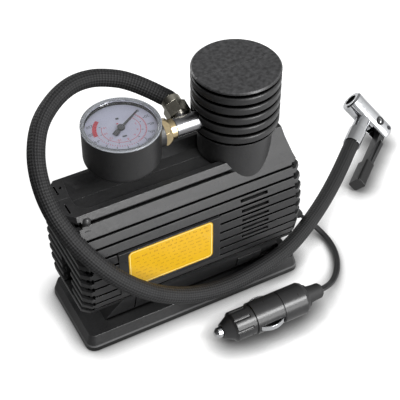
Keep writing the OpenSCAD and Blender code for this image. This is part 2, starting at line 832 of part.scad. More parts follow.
module drive_gear() {
    rp = gear_m * gear_n / 2;
    color("ivory")
    difference() {
        along_x(gear_x, 0, crank_z)
            linear_extrude(gear_w)
                difference() {
                    gear_outline(gear_n, rp + 0.6 * gear_m, rp - 1.3 * gear_m, 180 / gear_n);
                    circle(r = crank_shaft_r);
                }
        along_x(gear_x - 1, 0, crank_z)
            difference() {
                cylinder(h = 2.2, r = rp - 3);
                translate([0, 0, -1]) cylinder(h = 5, r = crank_shaft_r + 2.6);
            }
    }
}

module motor_screws() {
    color("dimgray")
    for (s = [-1, 1]) {
        rod_x_dir(plate_x - 1.5, plate_x + plate_t - 1.8, s * 9, motor_z, 1.2);
        rod_x_dir(plate_x + plate_t - 1.8, plate_x + plate_t, s * 9, motor_z, 2.3);
    }
}

module gear_plate() {
    color("gainsboro")
    difference() {
        union() {
            translate([plate_x, -plate_hw, body_z + wall])
                cube([plate_t, 2 * plate_hw, plate_top - body_z - wall]);
            translate([plate_x, -plate_hw, plate_top - shelf_t])
                cube([shelf_end - plate_x, 2 * plate_hw, shelf_t]);
            for (y = [-plate_hw, plate_hw - gusset_t])
                xz_prism(y, y + gusset_t,
                    [[plate_x + 1, plate_top - 1], [plate_x + 1, plate_top - 26],
                        [plate_x + plate_t + 3, plate_top - 26], [shelf_end, plate_top - shelf_t],
                        [shelf_end, plate_top - 1]]);
        }
        translate([tower_x, 0, plate_top - shelf_t - 1]) cylinder(h = shelf_t + 2, r = bore_r + 0.2);
        rod_x_dir(plate_x - 1, plate_x + plate_t + 1, 0, motor_z, 6);
        rod_x_dir(plate_x - 1, plate_x + plate_t + 1, 0, crank_z, crank_shaft_r + 2);
        for (s = [-1, 1]) {
            rod_x_dir(plate_x - 1, plate_x + plate_t + 1, s * 9, motor_z, 1.3);
            rod_x_dir(plate_x + plate_t - 1.8, plate_x + plate_t + 1, s * 9, motor_z, 2.4);
        }
        for (x = [-1, 1], y = [-1, 1])
            translate([tower_x + x * tie_at, y * tie_at, plate_top - shelf_t - 1])
                cylinder(h = shelf_t + 2, r = tie_r);
    }
}

module crank_bush() {
    color("peru")
    difference() {
        union() {
            rod_x_dir(plate_x + 0.2, plate_x + plate_t, 0, crank_z, crank_shaft_r + 2);
            rod_x_dir(plate_x + plate_t, plate_x + plate_t + 0.4, 0, crank_z, crank_shaft_r + 3.2);
        }
        rod_x_dir(plate_x - 1, plate_x + plate_t + 1, 0, crank_z, crank_shaft_r + run);
    }
}

module crank() {
    x0 = gear_x + gear_w;
    color("slategray")
    difference() {
        union() {
            rod_x_dir(plate_x + 0.4, x0, 0, crank_z, crank_shaft_r);
            rod_x_dir(x0, x0 + disc_w, 0, crank_z, disc_r);
            rod_x_dir(x0 + disc_w, x0 + disc_w + pin_len, 0, pin_z, pin_r);
        }
        // lightened on the pin's side, so that the rest is the counterweight
        for (s = [-1, 1])
            rod_x_dir(x0 - 0.5, x0 + disc_w + 0.5, s * 8, crank_z + 7, 2.4);
    }
}

// ---------- piston and cylinder ----------

module piston_rod() {
    color("silver")
    difference() {
        union() {
            translate([rod_x, 0, pin_z]) rotate([0, 90, 0]) cylinder(h = rod_w, r = 6.5);
            translate([rod_x, -3.5, pin_z]) cube([rod_w, 7, rod_len - 6]);
            translate([tower_x, 0, crown_z - 8]) cylinder(h = 4, r = bore_r - 0.6);
            translate([tower_x, 0, crown_z - 4 - eps]) cylinder(h = 2.5 + eps, r = bore_r - 1.6);
        }
        rod_x_dir(rod_x - 1, rod_x + rod_w + 1, 0, pin_z, pin_r + 0.1);
        translate([rod_x + rod_w / 2 + 1.2, -2, pin_z + 9]) cube([3, 4, 20]);
        translate([rod_x - 1.2, -2, pin_z + 9]) cube([3, 4, 20]);
        translate([tower_x, 0, crown_z - 9]) cylinder(h = 10, r = 1.25);
    }
}

module piston_cup() {
    color("black")
    translate([tower_x, 0, crown_z - 4])
        difference() {
            cylinder(h = 4, r = bore_r - 0.06);
            translate([0, 0, -1]) cylinder(h = 3.5, r = bore_r - 1.6);
            translate([0, 0, 3.3]) cylinder(h = 4, r = bore_r - 1.6);
            cylinder(h = 5, r = 1.25);
        }
}

module piston_screw() {
    color("dimgray")
    translate([tower_x, 0, 0]) {
        translate([0, 0, crown_z - 7.5]) cylinder(h = 7, r = 1.2);
        translate([0, 0, crown_z - 0.7]) cylinder(h = 1.3, r = 4.4);
    }
}

module tie_holes(z0, z1, r) {
    for (x = [-1, 1], y = [-1, 1])
        translate([tower_x + x * tie_at, y * tie_at, z0]) cylinder(h = z1 - z0, r = r);
}

module cylinder_fins() {
    for (z = [plate_top + 6 : 6 : bore_top - flange_t - 4])
        translate([tower_x, 0, z]) cylinder(h = 1.4, r = cylinder_r + 3.6);
}

module cylinder_barrel() {
    difference() {
        union() {
            translate([tower_x, 0, plate_top]) cylinder(h = bore_top - plate_top, r = cylinder_r);
            translate([tower_x, 0, bore_top - flange_t]) cylinder(h = flange_t, r = head_r);
            cylinder_fins();
        }
        translate([tower_x, 0, plate_top - 1]) cylinder(h = bore_top - plate_top + 2, r = bore_r);
        tie_holes(plate_top - 1, bore_top + 1, tie_r + 0.1);
    }
}

module cylinder_node() {
    color("silver") cylinder_barrel();
}

module valve_plate() {
    color("dimgray")
    difference() {
        translate([tower_x, 0, bore_top]) cylinder(h = plate_thick, r = head_r);
        for (s = [-1, 1])
            translate([tower_x + s * 4, 0, bore_top - 1]) cylinder(h = plate_thick + 2, r = 1.6);
        tie_holes(bore_top - 1, head_z + 1, tie_r + 0.1);
    }
}

module delivery_reed() {
    color("lightsteelblue")
    translate([tower_x - 7.5, -2.6, head_z]) cube([9, 5.2, 0.3]);
}

module cylinder_head() {
    color("silver")
    difference() {
        union() {
            translate([tower_x, 0, head_z]) cylinder(h = head_h, r = head_r);
            rod_x_dir(tower_x - 19, tower_x - 8, 0, line_z, 7);
        }
        translate([tower_x, 0, head_z - eps]) cylinder(h = 8, r = 9);
        rod_x_dir(tower_x - 20, tower_x - 8, 0, line_z, stem_r + 0.02);
        tie_holes(head_z - 1, head_z + head_h + 1, tie_r + 0.1);
        // cooling slots across the top
        for (y = [-12 : 4 : 12])
            translate([tower_x - head_r, y - 0.8, head_z + head_h - 3]) cube([2 * head_r, 1.6, 4]);
        translate([tower_x - 30, -head_r - 1, head_z - 5]) cube([60, 2 * head_r + 2, 5]);
    }
}

module tie_bolts() {
    color("dimgray")
    for (x = [-1, 1], y = [-1, 1])
        translate([tower_x + x * tie_at, y * tie_at, 0]) {
            translate([0, 0, plate_top - shelf_t])
                cylinder(h = head_z + head_h - plate_top + shelf_t, r = tie_r - 0.02);
            translate([0, 0, head_z + head_h]) hexagon(5, 2.4);
        }
}

// ---------- air line ----------

module on_branch() {
    translate([branch_x, 0, line_z]) rotate([-90 + branch_tilt, 0, 0]) children();
}

module outlet_manifold() {
    color("gainsboro")
    difference() {
        union() {
            rod_x_dir(tube_end, tower_x - 19, 0, line_z, tube_r);
            rod_x_dir(tower_x - 19 - eps, tower_x - 11, 0, line_z, stem_r);
            on_branch() cylinder(h = nut_seat, r = branch_r + 0.8);
            on_branch() cylinder(h = branch_len - 1, r = branch_r);
        }
        rod_x_dir(tube_end + 4, tower_x - 10, 0, line_z, 2);
        rod_x_dir(tube_end - 1, tube_end + 4, 0, line_z, stem_r + 0.02);
        on_branch() cylinder(h = branch_len + 1, r = 1.8);
    }
}

module sealing_washer() {
    color("sienna")
    difference() {
        rod_x_dir(collar_end, tube_end, 0, line_z, tube_r - 0.7);
        rod_x_dir(collar_end - 1, tube_end + 1, 0, line_z, stem_r + 0.02);
    }
}

module gauge_collar() {
    color("goldenrod")
    difference() {
        rod_x_dir(nut_end, collar_end, 0, line_z, tube_r + 0.4);
        rod_x_dir(nut_end - 1, collar_end + 1, 0, line_z, stem_r + 0.02);
    }
}

module gauge_nut() {
    color("goldenrod")
    difference() {
        intersection() {
            along_x(case_flat, 0, line_z) hexagon(gauge_nut_af, nut_end - case_flat);
            along_x(case_flat, 0, line_z)
                cylinder(h = nut_end - case_flat, r1 = gauge_nut_af / 2 + 1.8, r2 = gauge_nut_af / 2);
        }
        rod_x_dir(case_flat - 1, nut_end + 1, 0, line_z, stem_r + 0.02);
    }
}

module gauge_socket() {
    color("goldenrod")
    difference() {
        union() {
            rod_x_dir(case_flat - 8, tube_end + 3.8, 0, line_z, stem_r);
            translate([case_flat - 14, -5, line_z - 4.5]) cube([7, 10, 9]);
        }
        rod_x_dir(case_flat - 12, tube_end + 5, 0, line_z, 1.5);
    }
}

// ---------- gauge ----------

module in_gauge() {
    translate([gauge_x, 0, line_z]) rotate([gauge_tilt, 0, 0]) children();
}

module gauge_case() {
    inner = rim_r - 1.5;
    shoulder = -gauge_drop + gauge_round;
    color([0.1, 0.1, 0.11])
    difference() {
        union() {
            in_gauge()
                rotate_extrude($fn = 96)
                    difference() {
                        union() {
                            translate([0, -gauge_drop])
                                square([gauge_r - gauge_round, case_top + gauge_drop]);
                            translate([0, shoulder]) square([gauge_r, case_top - shoulder]);
                            translate([gauge_r - gauge_round, shoulder]) circle(r = gauge_round);
                        }
                        translate([0, -gauge_drop + gauge_wall])
                            square([inner - gauge_round + gauge_wall, 2 * case_top]);
                        translate([0, shoulder]) square([inner, case_top + gauge_drop]);
                        translate([0, dial_seat]) square([rim_r, case_top]);
                        translate([inner - gauge_round + gauge_wall, shoulder])
                            circle(r = gauge_round - gauge_wall);
                    }
            intersection() {
                rod_x_dir(case_flat - 9, case_flat, 0, line_z, gauge_nut_af / 2 + 0.8);
                translate([case_flat - 4, -20, line_z - 20]) cube([4, 40, 40]);
            }
        }
        rod_x_dir(case_flat - 9, case_flat + 1, 0, line_z, stem_r + 0.02);
    }
}

// The lens: a flat window with a raised rim that caps the case's wall and a skirt that drops inside it
module gauge_lens() {
    flat = gauge_rise - 0.5;
    under = flat - lens_t;
    lap = case_top + 0.05;
    skirt = rim_r - 0.1;
    color([0.8, 0.9, 1, 0.4])
    in_gauge()
        rotate_extrude($fn = 96)
            polygon([[0, flat], [lens_r - 2.2, flat], [lens_r - 1.4, gauge_rise],
                [lens_r - 0.4, gauge_rise], [lens_r, gauge_rise - 0.4], [lens_r, lap], [skirt, lap],
                [skirt, under - 0.3], [skirt - 1.2, under - 0.3], [skirt - 1.2, under], [0, under]]);
}

module gauge_dial() {
    color("lavender")
    in_gauge()
        difference() {
            translate([0, 0, dial_seat + 0.05]) cylinder(h = 0.6, r = dial_r, $fn = 96);
            cylinder(h = gauge_rise, r = 1.3);
        }
}

module bourdon_tube() {
    color("goldenrod")
    in_gauge()
        translate([0, 0, -1.2])
            rotate([0, 0, 24])
                rotate_extrude(angle = 265, $fn = 96)
                    translate([13.6, 0]) difference() {
                        square([2.2, 6]);
                        translate([0.5, 0.5]) square([1.2, 5]);
                    }
}

module gauge_movement() {
    color("goldenrod")
    in_gauge()
        difference() {
            union() {
                translate([-6, -9, movement_top - 4]) cube([12, 18, 1.2]);
                for (y = [-7.5, 7.5])
                    translate([0, y, -gauge_drop + gauge_wall])
                        cylinder(h = movement_top - 4 + gauge_drop - gauge_wall + 0.5, r = 1.6);
                translate([0, 0, movement_top - 3]) cylinder(h = 1.6, r = 2.2);
            }
            cylinder(h = gauge_rise, r = 0.8 + run);
        }
}

module gauge_pointer() {
    face = movement_top + 2.2;
    color("black")
    in_gauge() {
        translate([0, 0, movement_top - 3.6]) cylinder(h = face - movement_top + 3.8, r = 0.8);
        translate([0, 0, face]) cylinder(h = 1.2, r = 2.2);
        rotate([0, 0, pointer_rest])
            translate([0, 0, face])
                linear_extrude(0.5)
                    polygon([[-6.6, -1.5], [-4, -1.5], [-1, -0.9], [pointer_len, -0.25],
                        [pointer_len, 0.25], [-1, 0.9], [-4, 1.5], [-6.6, 1.5]]);
    }
}

// ---------- hose and chuck ----------

module hose_nut() {
    color("gainsboro")
    on_branch()
        translate([0, 0, nut_seat + 0.05])
            difference() {
                union() {
                    rotate([0, 0, 30]) hexagon(hose_nut_af, 8);
                    cylinder(h = branch_len - nut_seat - 0.05, r = hose_d / 2 + 0.6);
                }
                translate([0, 0, -1]) cylinder(h = branch_len - nut_seat + 2, r = branch_r + 0.02);
            }
}

module air_hose() {
    color([0.15, 0.15, 0.15])
        swept(HOSE, evenly(HOSE, hose_d / 2), 12, hose_start_dir, chuck_dir);
}

// The chuck's own frame, its origin where the head's axis crosses the hose's
module in_chuck() {
    translate(HOSE[len(HOSE) - 1] + neck_len * chuck_dir)
        rotate([0, 0, chuck_yaw]) rotate([0, -chuck_pitch, 0]) rotate([chuck_roll, 0, 0])
            children();
}

module hose_ferrule() {
    color("silver")
    in_chuck()
        difference() {
            rod_x_dir(-neck_len, -neck_len + 15, 0, 0, hose_d / 2 + 0.9);
            rod_x_dir(-neck_len + 2, -neck_len + 16, 0, 0, 3.62);
        }
}

module chuck_body() {
    r = chuck_d / 2;
    color("gainsboro")
    in_chuck()
        difference() {
            union() {
                rotate_extrude()
                    polygon([[0, -back_len], [r - 1.6, -back_len], [r, -back_len + 1.6],
                        [r, mouth_len - 5], [0, mouth_len - 5]]);
                rod_x_dir(-neck_len + 15, 0, 0, 0, 5.6);
                rod_x_dir(-neck_len + 2.1, 0, 0, 0, 3.6);
            }
            // valve bore, seal seat, air way, pin bore and lever slot
            translate([0, 0, mouth_len - 12]) cylinder(h = 20, r = seal_r);
            translate([0, 0, 0]) cylinder(h = mouth_len, r = 2.2);
            rod_x_dir(-neck_len - 1, 0, 0, 0, 1.6);
            translate([0, 0, -lever_back]) rotate([90, 0, 0]) cylinder(h = 40, r = pin_rad, center = true);
            translate([-r - 1, -slot_hw, -back_len - 1]) cube([2 * r - 1.2, 2 * slot_hw, back_len - 7]);
        }
}

module chuck_seal() {
    color("black")
    in_chuck()
        difference() {
            translate([0, 0, mouth_len - 12]) cylinder(h = 10.4, r = seal_r - 0.02);
            translate([0, 0, mouth_len - 13]) cylinder(h = 20, r = valve_r);
        }
}

module chuck_cap() {
    r = chuck_d / 2;
    color("silver")
    in_chuck()
        rotate_extrude()
            polygon([[valve_r + 0.6, mouth_len - 1.5], [valve_r + 0.6, mouth_len], [r - 1.2, mouth_len],
                [r + 0.1, mouth_len - 1.3], [r + 0.1, mouth_len - 4.98],
                [seal_r + 0.02, mouth_len - 4.98], [seal_r + 0.02, mouth_len - 1.5]]);
}

module chuck_pin() {
    color("dimgray")
    in_chuck()
        translate([0, 0, -lever_back])
            rotate([90, 0, 0]) cylinder(h = chuck_d + 0.4, r = pin_rad - run, center = true);
}

// Lever outline in the chuck's X and Z: a cam eye at the pin and an arm that runs back beside the hose
module chuck_lever() {
    hw = slot_hw - lever_gap;
    color([0.1, 0.1, 0.11])
    in_chuck()
        difference() {
            union() {
                translate([0, 0, -lever_back])
                    rotate([90, 0, 0]) cylinder(h = 2 * hw, r = 3.6, center = true);
                translate([-lever_len + 22, 0, -lever_back]) rotate([0, 90, 0])
                    linear_extrude(lever_len - 22)
                        polygon([[-2.2, -hw], [2.6, -hw], [2.6, hw], [-2.2, hw]]);
                translate([0, 0, -lever_back - 2.6])
                    linear_extrude(2.4)
                        polygon([[-11, -hw], [-15, -6], [-lever_len + 22, -4.4],
                            [-lever_len + 22, 4.4], [-15, 6], [-11, hw]]);
                translate([-lever_len + 4, -3, -lever_back - 1.6]) cube([20, 6, 3]);
            }
            translate([0, 0, -lever_back]) rotate([90, 0, 0]) cylinder(h = 30, r = pin_rad, center = true);
        }
}

module lever_grip() {
    color([0.05, 0.05, 0.05])
    in_chuck()
        difference() {
            translate([-lever_len, 0, -lever_back])
                rotate([0, 90, 0])
                    linear_extrude(22)
                        hull()
                            for (z = [-2.4, 2.2], y = [-3.8, 3.8])
                                translate([z, y]) circle(r = 1.6, $fn = 24);
            translate([-lever_len + 4, -3, -lever_back - 1.6]) cube([30, 6, 3]);
        }
}

// ---------- power cord and plug ----------

module cord_gland() {
    color([0.08, 0.08, 0.08]) {
        rod_x_dir(half_len - gland_neck, half_len, -gland_y, body_z + gland_rise, gland_neck_r);
        rod_x_dir(half_len, half_len + 1.6, -gland_y, body_z + gland_rise, gland_neck_r + 1.2);
        translate([half_len - 75.25, 8 - gland_y, body_z + gland_rise - 34.8])
            swept(RELIEF, RELIEF_R, 12, relief_start_dir, cord_start_dir);
    }
}

module power_cord() {
    color([0.1, 0.1, 0.1])
        swept(CORD, evenly(CORD, cord_d / 2), 8, cord_start_dir, [-1, 0, 0]);
}

module plug_tail() {
    color([0.12, 0.12, 0.12])
    translate([0, plug_y, plug_z])
        rotate([0, 90, 0])
            rotate_extrude()
                polygon([[0, plug_end], [7.6, plug_end], [7.4, plug_end + 1.4], [5.8, plug_end + 1.8],
                    [5.2, plug_end + 7], [5, plug_end + 11], [3.8, plug_end + tail_len],
                    [0, plug_end + tail_len]]);
}

module plug_body() {
    groove = plug_front + contact_slot + 0.3;
    color([0.12, 0.12, 0.13])
    translate([0, plug_y, plug_z])
        difference() {
            rotate([0, 90, 0])
                rotate_extrude($fn = 96)
                    polygon([[0, plug_front], [plug_r, plug_front], [plug_r, groove],
                        [plug_r - ring_groove_t, groove], [plug_r - ring_groove_t, groove + ring_groove_w],
                        [plug_r, groove + ring_groove_w], [plug_r, plug_end - 3],
                        [plug_r - 0.9, plug_end - 1], [plug_r - 2.6, plug_end], [0, plug_end]]);
            rod_x_dir(plug_front - 1, plug_end - 8, 0, 0, 3.3);
            for (s = [-1, 1])
                translate([plug_front + 1.2, s * (plug_r - 1.7) - 2.9, -2.3])
                    cube([contact_slot - 1.2, 5.8, 4.6]);
        }
}

module plug_fuse() {
    color("silver")
        rod_x_dir(plug_front + 1, plug_front + 29, plug_y, plug_z, 3.15);
}

module plug_nose() {
    flute = 1.1;
    color([0.1, 0.1, 0.1])
    translate([plug_front - nose_len, plug_y, plug_z])
        rotate([0, 90, 0])
            difference() {
                rotate_extrude($fn = 96)
                    polygon([[0, 0], [tip_r + 1.4, 0], [nose_r - 1.6, 6], [nose_r, 7.4],
                        [nose_r, nose_len], [0, nose_len]]);
                for (a = [22.5 : 45 : 360])
                    rotate([0, 0, a]) translate([nose_r + 0.4, 0, -1])
                        cylinder(h = nose_len - 2, r = flute, $fn = 24);
                translate([0, 0, -1]) cylinder(h = nose_len + 2, r = tip_r + 0.05);
                translate([0, 0, 3 - eps]) cylinder(h = nose_len, r = tip_r + 1.3);
            }
}

module plug_tip() {
    color("silver")
    translate([0, plug_y, plug_z])
        rotate([0, 90, 0]) rotate_extrude()
            polygon([[0, plug_front - nose_len - 5], [1.6, plug_front - nose_len - 5],
                [tip_r, plug_front - nose_len - 3], [tip_r, plug_front - nose_len + 3.3],
                [tip_r + 1, plug_front - nose_len + 3.3], [tip_r + 1, plug_front - nose_len + 4.6],
                [0, plug_front - nose_len + 4.6]]);
}

// A bowed leaf in its slot, on the near (-1) or the far (1) side of the barrel
module plug_contact(side) {
    chord = contact_len - 0.4;
    bow = (chord * chord / 4 + contact_rise * contact_rise) / (2 * contact_rise);
    color("silver")
    translate([plug_front + 1.8 + chord / 2, plug_y + side * (plug_r - 0.6 + contact_rise - bow), plug_z])
        mirror([0, side < 0 ? 1 : 0, 0])
            linear_extrude(3.6, center = true)
                intersection() {
                    difference() {
                        circle(r = bow, $fn = 96);
                        circle(r = bow - 0.8, $fn = 96);
                    }
                    translate([-chord / 2, bow - contact_rise - 0.8]) square([chord, contact_rise + 2]);
                }
}

module plug_contact_near() {
    plug_contact(-1);
}

module plug_contact_far() {
    plug_contact(1);
}

base();
base_screws();
front_housing();
rear_housing();
housing_screws();
label_plate();
motor_can();
motor_magnets();
motor_end_bell();
armature();
pinion();
motor_screws();
gear_plate();
crank_bush();
drive_gear();
crank();
piston_rod();
piston_cup();
piston_screw();
cylinder_node();  // cylinder
valve_plate();
delivery_reed();
cylinder_head();
tie_bolts();
outlet_manifold();
sealing_washer();
gauge_collar();
gauge_nut();
gauge_socket();
gauge_case();
bourdon_tube();
gauge_movement();
gauge_dial();
gauge_pointer();
gauge_lens();
hose_nut();
air_hose();
hose_ferrule();
chuck_body();
chuck_seal();
chuck_cap();
chuck_pin();
chuck_lever();
lever_grip();
cord_gland();
power_cord();
plug_tail();
plug_body();
plug_fuse();
plug_nose();
plug_tip();
plug_contact_near();
plug_contact_far();
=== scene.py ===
import math
import random

import bmesh
import bpy
from mathutils import Matrix, Vector


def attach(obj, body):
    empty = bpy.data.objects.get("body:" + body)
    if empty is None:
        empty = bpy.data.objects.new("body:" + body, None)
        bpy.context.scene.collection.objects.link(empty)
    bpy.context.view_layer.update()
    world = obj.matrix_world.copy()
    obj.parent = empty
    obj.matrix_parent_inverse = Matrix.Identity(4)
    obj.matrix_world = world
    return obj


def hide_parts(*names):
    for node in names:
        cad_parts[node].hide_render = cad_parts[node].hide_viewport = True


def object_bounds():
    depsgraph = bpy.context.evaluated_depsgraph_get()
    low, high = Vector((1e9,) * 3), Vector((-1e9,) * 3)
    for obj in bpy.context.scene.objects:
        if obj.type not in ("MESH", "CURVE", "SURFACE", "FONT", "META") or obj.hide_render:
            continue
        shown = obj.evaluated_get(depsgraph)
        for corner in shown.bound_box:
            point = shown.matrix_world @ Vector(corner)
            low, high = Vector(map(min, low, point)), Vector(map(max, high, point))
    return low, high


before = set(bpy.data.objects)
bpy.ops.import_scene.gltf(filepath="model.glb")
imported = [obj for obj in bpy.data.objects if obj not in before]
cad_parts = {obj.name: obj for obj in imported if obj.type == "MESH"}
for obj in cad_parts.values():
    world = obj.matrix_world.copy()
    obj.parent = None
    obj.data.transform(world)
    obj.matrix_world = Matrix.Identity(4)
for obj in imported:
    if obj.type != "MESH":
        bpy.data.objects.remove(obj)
cad_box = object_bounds()

# Camera: stands in front, to the left and above the compressor, and looks down at it through a
# long lens, so that upright edges stay nearly parallel.
EYE = (-0.2109, -0.4259, 0.5302)
AIM = (0.0192, 0.0032, 0.060)
LENS = 96.65
SENSOR_WIDTH = 36.0
CLIP_START = 0.02
CLIP_END = 20.0


def link(name, data):
    made = bpy.data.objects.new(name, data)
    bpy.context.scene.collection.objects.link(made)
    return made


def stand(made, place, aim):
    """Stands a camera or a lamp at a place, looking at a point."""
    made.location = place
    made.rotation_euler = (Vector(aim) - Vector(place)).to_track_quat("-Z", "Y").to_euler()


view_camera = link("camera", bpy.data.cameras.new("camera"))
stand(view_camera, EYE, AIM)
view_camera.data.lens = LENS
view_camera.data.sensor_width = SENSOR_WIDTH
view_camera.data.clip_start = CLIP_START
view_camera.data.clip_end = CLIP_END
bpy.context.scene.camera = view_camera
bpy.context.scene.view_settings.view_transform = "Standard"


# Air hose: a rubber pressure hose under a braided textile cover. It leaves the outlet's branch to
# the rear, arches over the left end and runs low along the label side to the chuck. Routes are in
# millimetres, other sizes in metres.
HOSE_ROUTE = [
    (7.5, 18.35, 133.92), (3.6, 23.3, 136), (-1.2, 28, 138.5), (-8.8, 34.2, 142),
    (-17.6, 38.9, 145.1), (-30.9, 42.3, 147.8), (-44.7, 41.4, 148.1), (-58.5, 35.6, 145.5),
    (-71, 25.8, 140.5), (-79.4, 13, 132.6), (-83.3, -0.3, 123.1), (-83, -13.5, 111.9),
    (-78.2, -25, 99.2), (-70.9, -33.6, 87.2), (-61, -40.2, 74.3), (-49.8, -44.2, 62.6),
    (-36.8, -46.6, 51.8), (-22.6, -47.2, 42.6), (-7.4, -46.1, 34.9), (8, -43.7, 29.1),
    (24, -40, 24.6), (40, -35.5, 21.3), (55.9, -30.5, 19.2), (71.7, -24, 17.8),
    (87, -15.9, 17.2), (101.8, -7, 17.2), (116, 2.4, 17.6), (130, 12.6, 18.3),
    (143.2, 23, 19), (154, 31.9, 19.8), (162.3, 38.6, 20.4),
]
HOSE_RADIUS = 0.0053
HOSE_SIDES = 48
CORD_STEP = 0.0012
CURVE_STEPS = 24
BRAID_STRANDS = 20
BRAID_PITCH = 0.0036
BRAID_DARK = (0.003, 0.003, 0.0033)
BRAID_LIGHT = (0.040, 0.040, 0.041)
BRAID_DEPTH = 0.0004


class Wire:
    """A shader socket that takes arithmetic: an expression on wires adds its nodes."""

    def __init__(self, tree, socket=None):
        self.tree = tree
        self.socket = socket

    def add(self, kind, sockets=None, out=0, **settings):
        """A new node: its settings first, then its sockets' values or wires; gives one output."""
        node = self.tree.nodes.new("ShaderNode" + kind)
        for name, value in settings.items():
            setattr(node, name, value)
        for key, value in (sockets or {}).items():
            self.plug(node.inputs[key], value)
        return Wire(self.tree, node.outputs[out] if len(node.outputs) else None)

    def also(self, out):
        """Another output of the same node."""
        return Wire(self.tree, self.socket.node.outputs[out])

    def plug(self, target, value):
        if isinstance(value, Wire):
            self.tree.links.new(value.socket, target)
        else:
            target.default_value = value

    def math(self, operation, *values):
        return self.add("Math", dict(enumerate(values)), operation=operation)

    def __add__(self, other):
        return self.math("ADD", self, other)

    __radd__ = __add__

    def __sub__(self, other):
        return self.math("SUBTRACT", self, other)

    def __rsub__(self, other):
        return self.math("SUBTRACT", other, self)

    def __mul__(self, other):
        return self.math("MULTIPLY", self, other)

    __rmul__ = __mul__

    def __pow__(self, other):
        return self.math("POWER", self, other)

    def __gt__(self, other):
        return self.math("GREATER_THAN", self, other)

    def __lt__(self, other):
        return self.math("LESS_THAN", self, other)

    def __abs__(self):
        return self.math("ABSOLUTE", self)

    def sine(self):
        return self.math("SINE", self)

    def most(self, other):
        return self.math("MAXIMUM", self, other)

    def clamp(self):
        return self.add("Clamp", {"Value": self})

    def ramp(self, low, high):
        """Rises smoothly from 0 at low to 1 at high."""
        given = {"Value": self, "From Min": low, "From Max": high}
        return self.add("MapRange", given, interpolation_type="SMOOTHSTEP")

    def blend(self, dark, light):
        """Mixes two colours by this wire."""
        given = {0: self, 6: dark if isinstance(dark, Wire) else (*dark, 1.0),
                 7: light if isinstance(light, Wire) else (*light, 1.0)}
        return self.add("Mix", given, out=2, data_type="RGBA")


def new_finish(name, **uniform):
    """A new material, a wire to build on it with, and its shader with the uniform values set."""
    made = bpy.data.materials.new(name)
    made.use_nodes = True
    shader = made.node_tree.nodes["Principled BSDF"]
    for socket, value in uniform.items():
        shader.inputs[socket.replace("_", " ")].default_value = value
    return made, Wire(made.node_tree), shader


def noise(wire, scale, detail=2.0, roughness=0.5, stretch=None):
    place = wire.add("TexCoord", out="Object")
    if stretch:
        place = wire.add("Mapping", {"Vector": place, "Scale": stretch})
    given = {"Vector": place, "Scale": scale, "Detail": detail, "Roughness": roughness}
    return wire.add("TexNoise", given)


def relief(wire, shader, height, depth, strength=1.0, edges=None):
    """Raises the surface by a height wire through a Bump node into the shader's normal."""
    given = {"Strength": strength, "Distance": depth, "Height": height}
    if edges is not None:
        given["Normal"] = edges
    wire.plug(shader.inputs["Normal"], wire.add("Bump", given))


def heading(turn, rise):
    """The direction at a turn about Z and a rise above level, in degrees."""
    turn, rise = math.radians(turn), math.radians(rise)
    level = math.cos(rise)
    return Vector((level * math.cos(turn), level * math.sin(turn), math.sin(rise)))


def smooth_route(points, step, first, last):
    """The route's points in metres, joined by a smooth curve that starts along first and ends
    along last, and spaced evenly. Gives the curve's length too."""
    given = [Vector(p) / 1000 for p in points]
    before = given[0] - first * (given[1] - given[0]).length
    after = given[-1] + last * (given[-1] - given[-2]).length
    ends = [before, *given, after]
    fine = []
    for a, b, c, d in zip(ends, ends[1:], ends[2:], ends[3:]):
        for t in (n / CURVE_STEPS for n in range(CURVE_STEPS)):
            fine.append(0.5 * (2 * b + (c - a) * t + (2 * a - 5 * b + 4 * c - d) * t * t
                               + (3 * b - a - 3 * c + d) * t ** 3))
    fine.append(given[-1])
    run = [0.0]
    for a, b in zip(fine, fine[1:]):
        run.append(run[-1] + (b - a).length)
    length = run[-1]
    count = round(length / step)
    even, k = [], 0
    for want in (length * n / count for n in range(count + 1)):
        while k < len(run) - 2 and run[k + 1] < want:
            k += 1
        even.append(fine[k].lerp(fine[k + 1], (want - run[k]) / (run[k + 1] - run[k])))
    return even, length


def settle(name, mesh):
    """The finished mesh as an object."""
    data = bpy.data.meshes.new(name)
    mesh.to_mesh(data)
    mesh.free()
    return link(name, data)


def tube(name, route, section, first, last, upright=False):
    """A closed tube along a route that starts along first and ends along last. section(share)
    gives its section's points, side then up, at a share of the route; upright keeps them level."""
    mesh = bmesh.new()
    maps = mesh.loops.layers.uv.new("UVMap")
    ways = [first, *((b - a).normalized() for a, b in zip(route, route[2:])), last]
    across, run, rings = None, 0.0, []
    for n, (place, way) in enumerate(zip(route, ways)):
        if upright or across is None:
            across = way.cross(Vector((0, 0, 1))).normalized()
        across = (across - across.dot(way) * way).normalized()
        above = across.cross(way)
        run += (place - route[n - 1]).length if n else 0.0
        points = section(n / (len(route) - 1))
        rings.append(([mesh.verts.new(place + x * across + y * above) for x, y in points], run))
    sides = len(rings[0][0])
    for (low, low_run), (high, high_run) in zip(rings, rings[1:]):
        for k in range(sides):
            m = (k + 1) % sides
            face = mesh.faces.new((low[k], low[m], high[m], high[k]))
            face.smooth = True
            corners = ((k, low_run), (k + 1, low_run), (k + 1, high_run), (k, high_run))
            for loop, (side, length) in zip(face.loops, corners):
                loop[maps].uv = (side / sides, length)
    mesh.faces.new(rings[0][0][::-1])
    mesh.faces.new(rings[-1][0])
    bmesh.ops.recalc_face_normals(mesh, faces=mesh.faces)
    return settle(name, mesh)


def ring_of(radius, sides):
    turns = [2 * math.pi * k / sides for k in range(sides)]
    return [(radius * math.cos(a), radius * math.sin(a)) for a in turns]


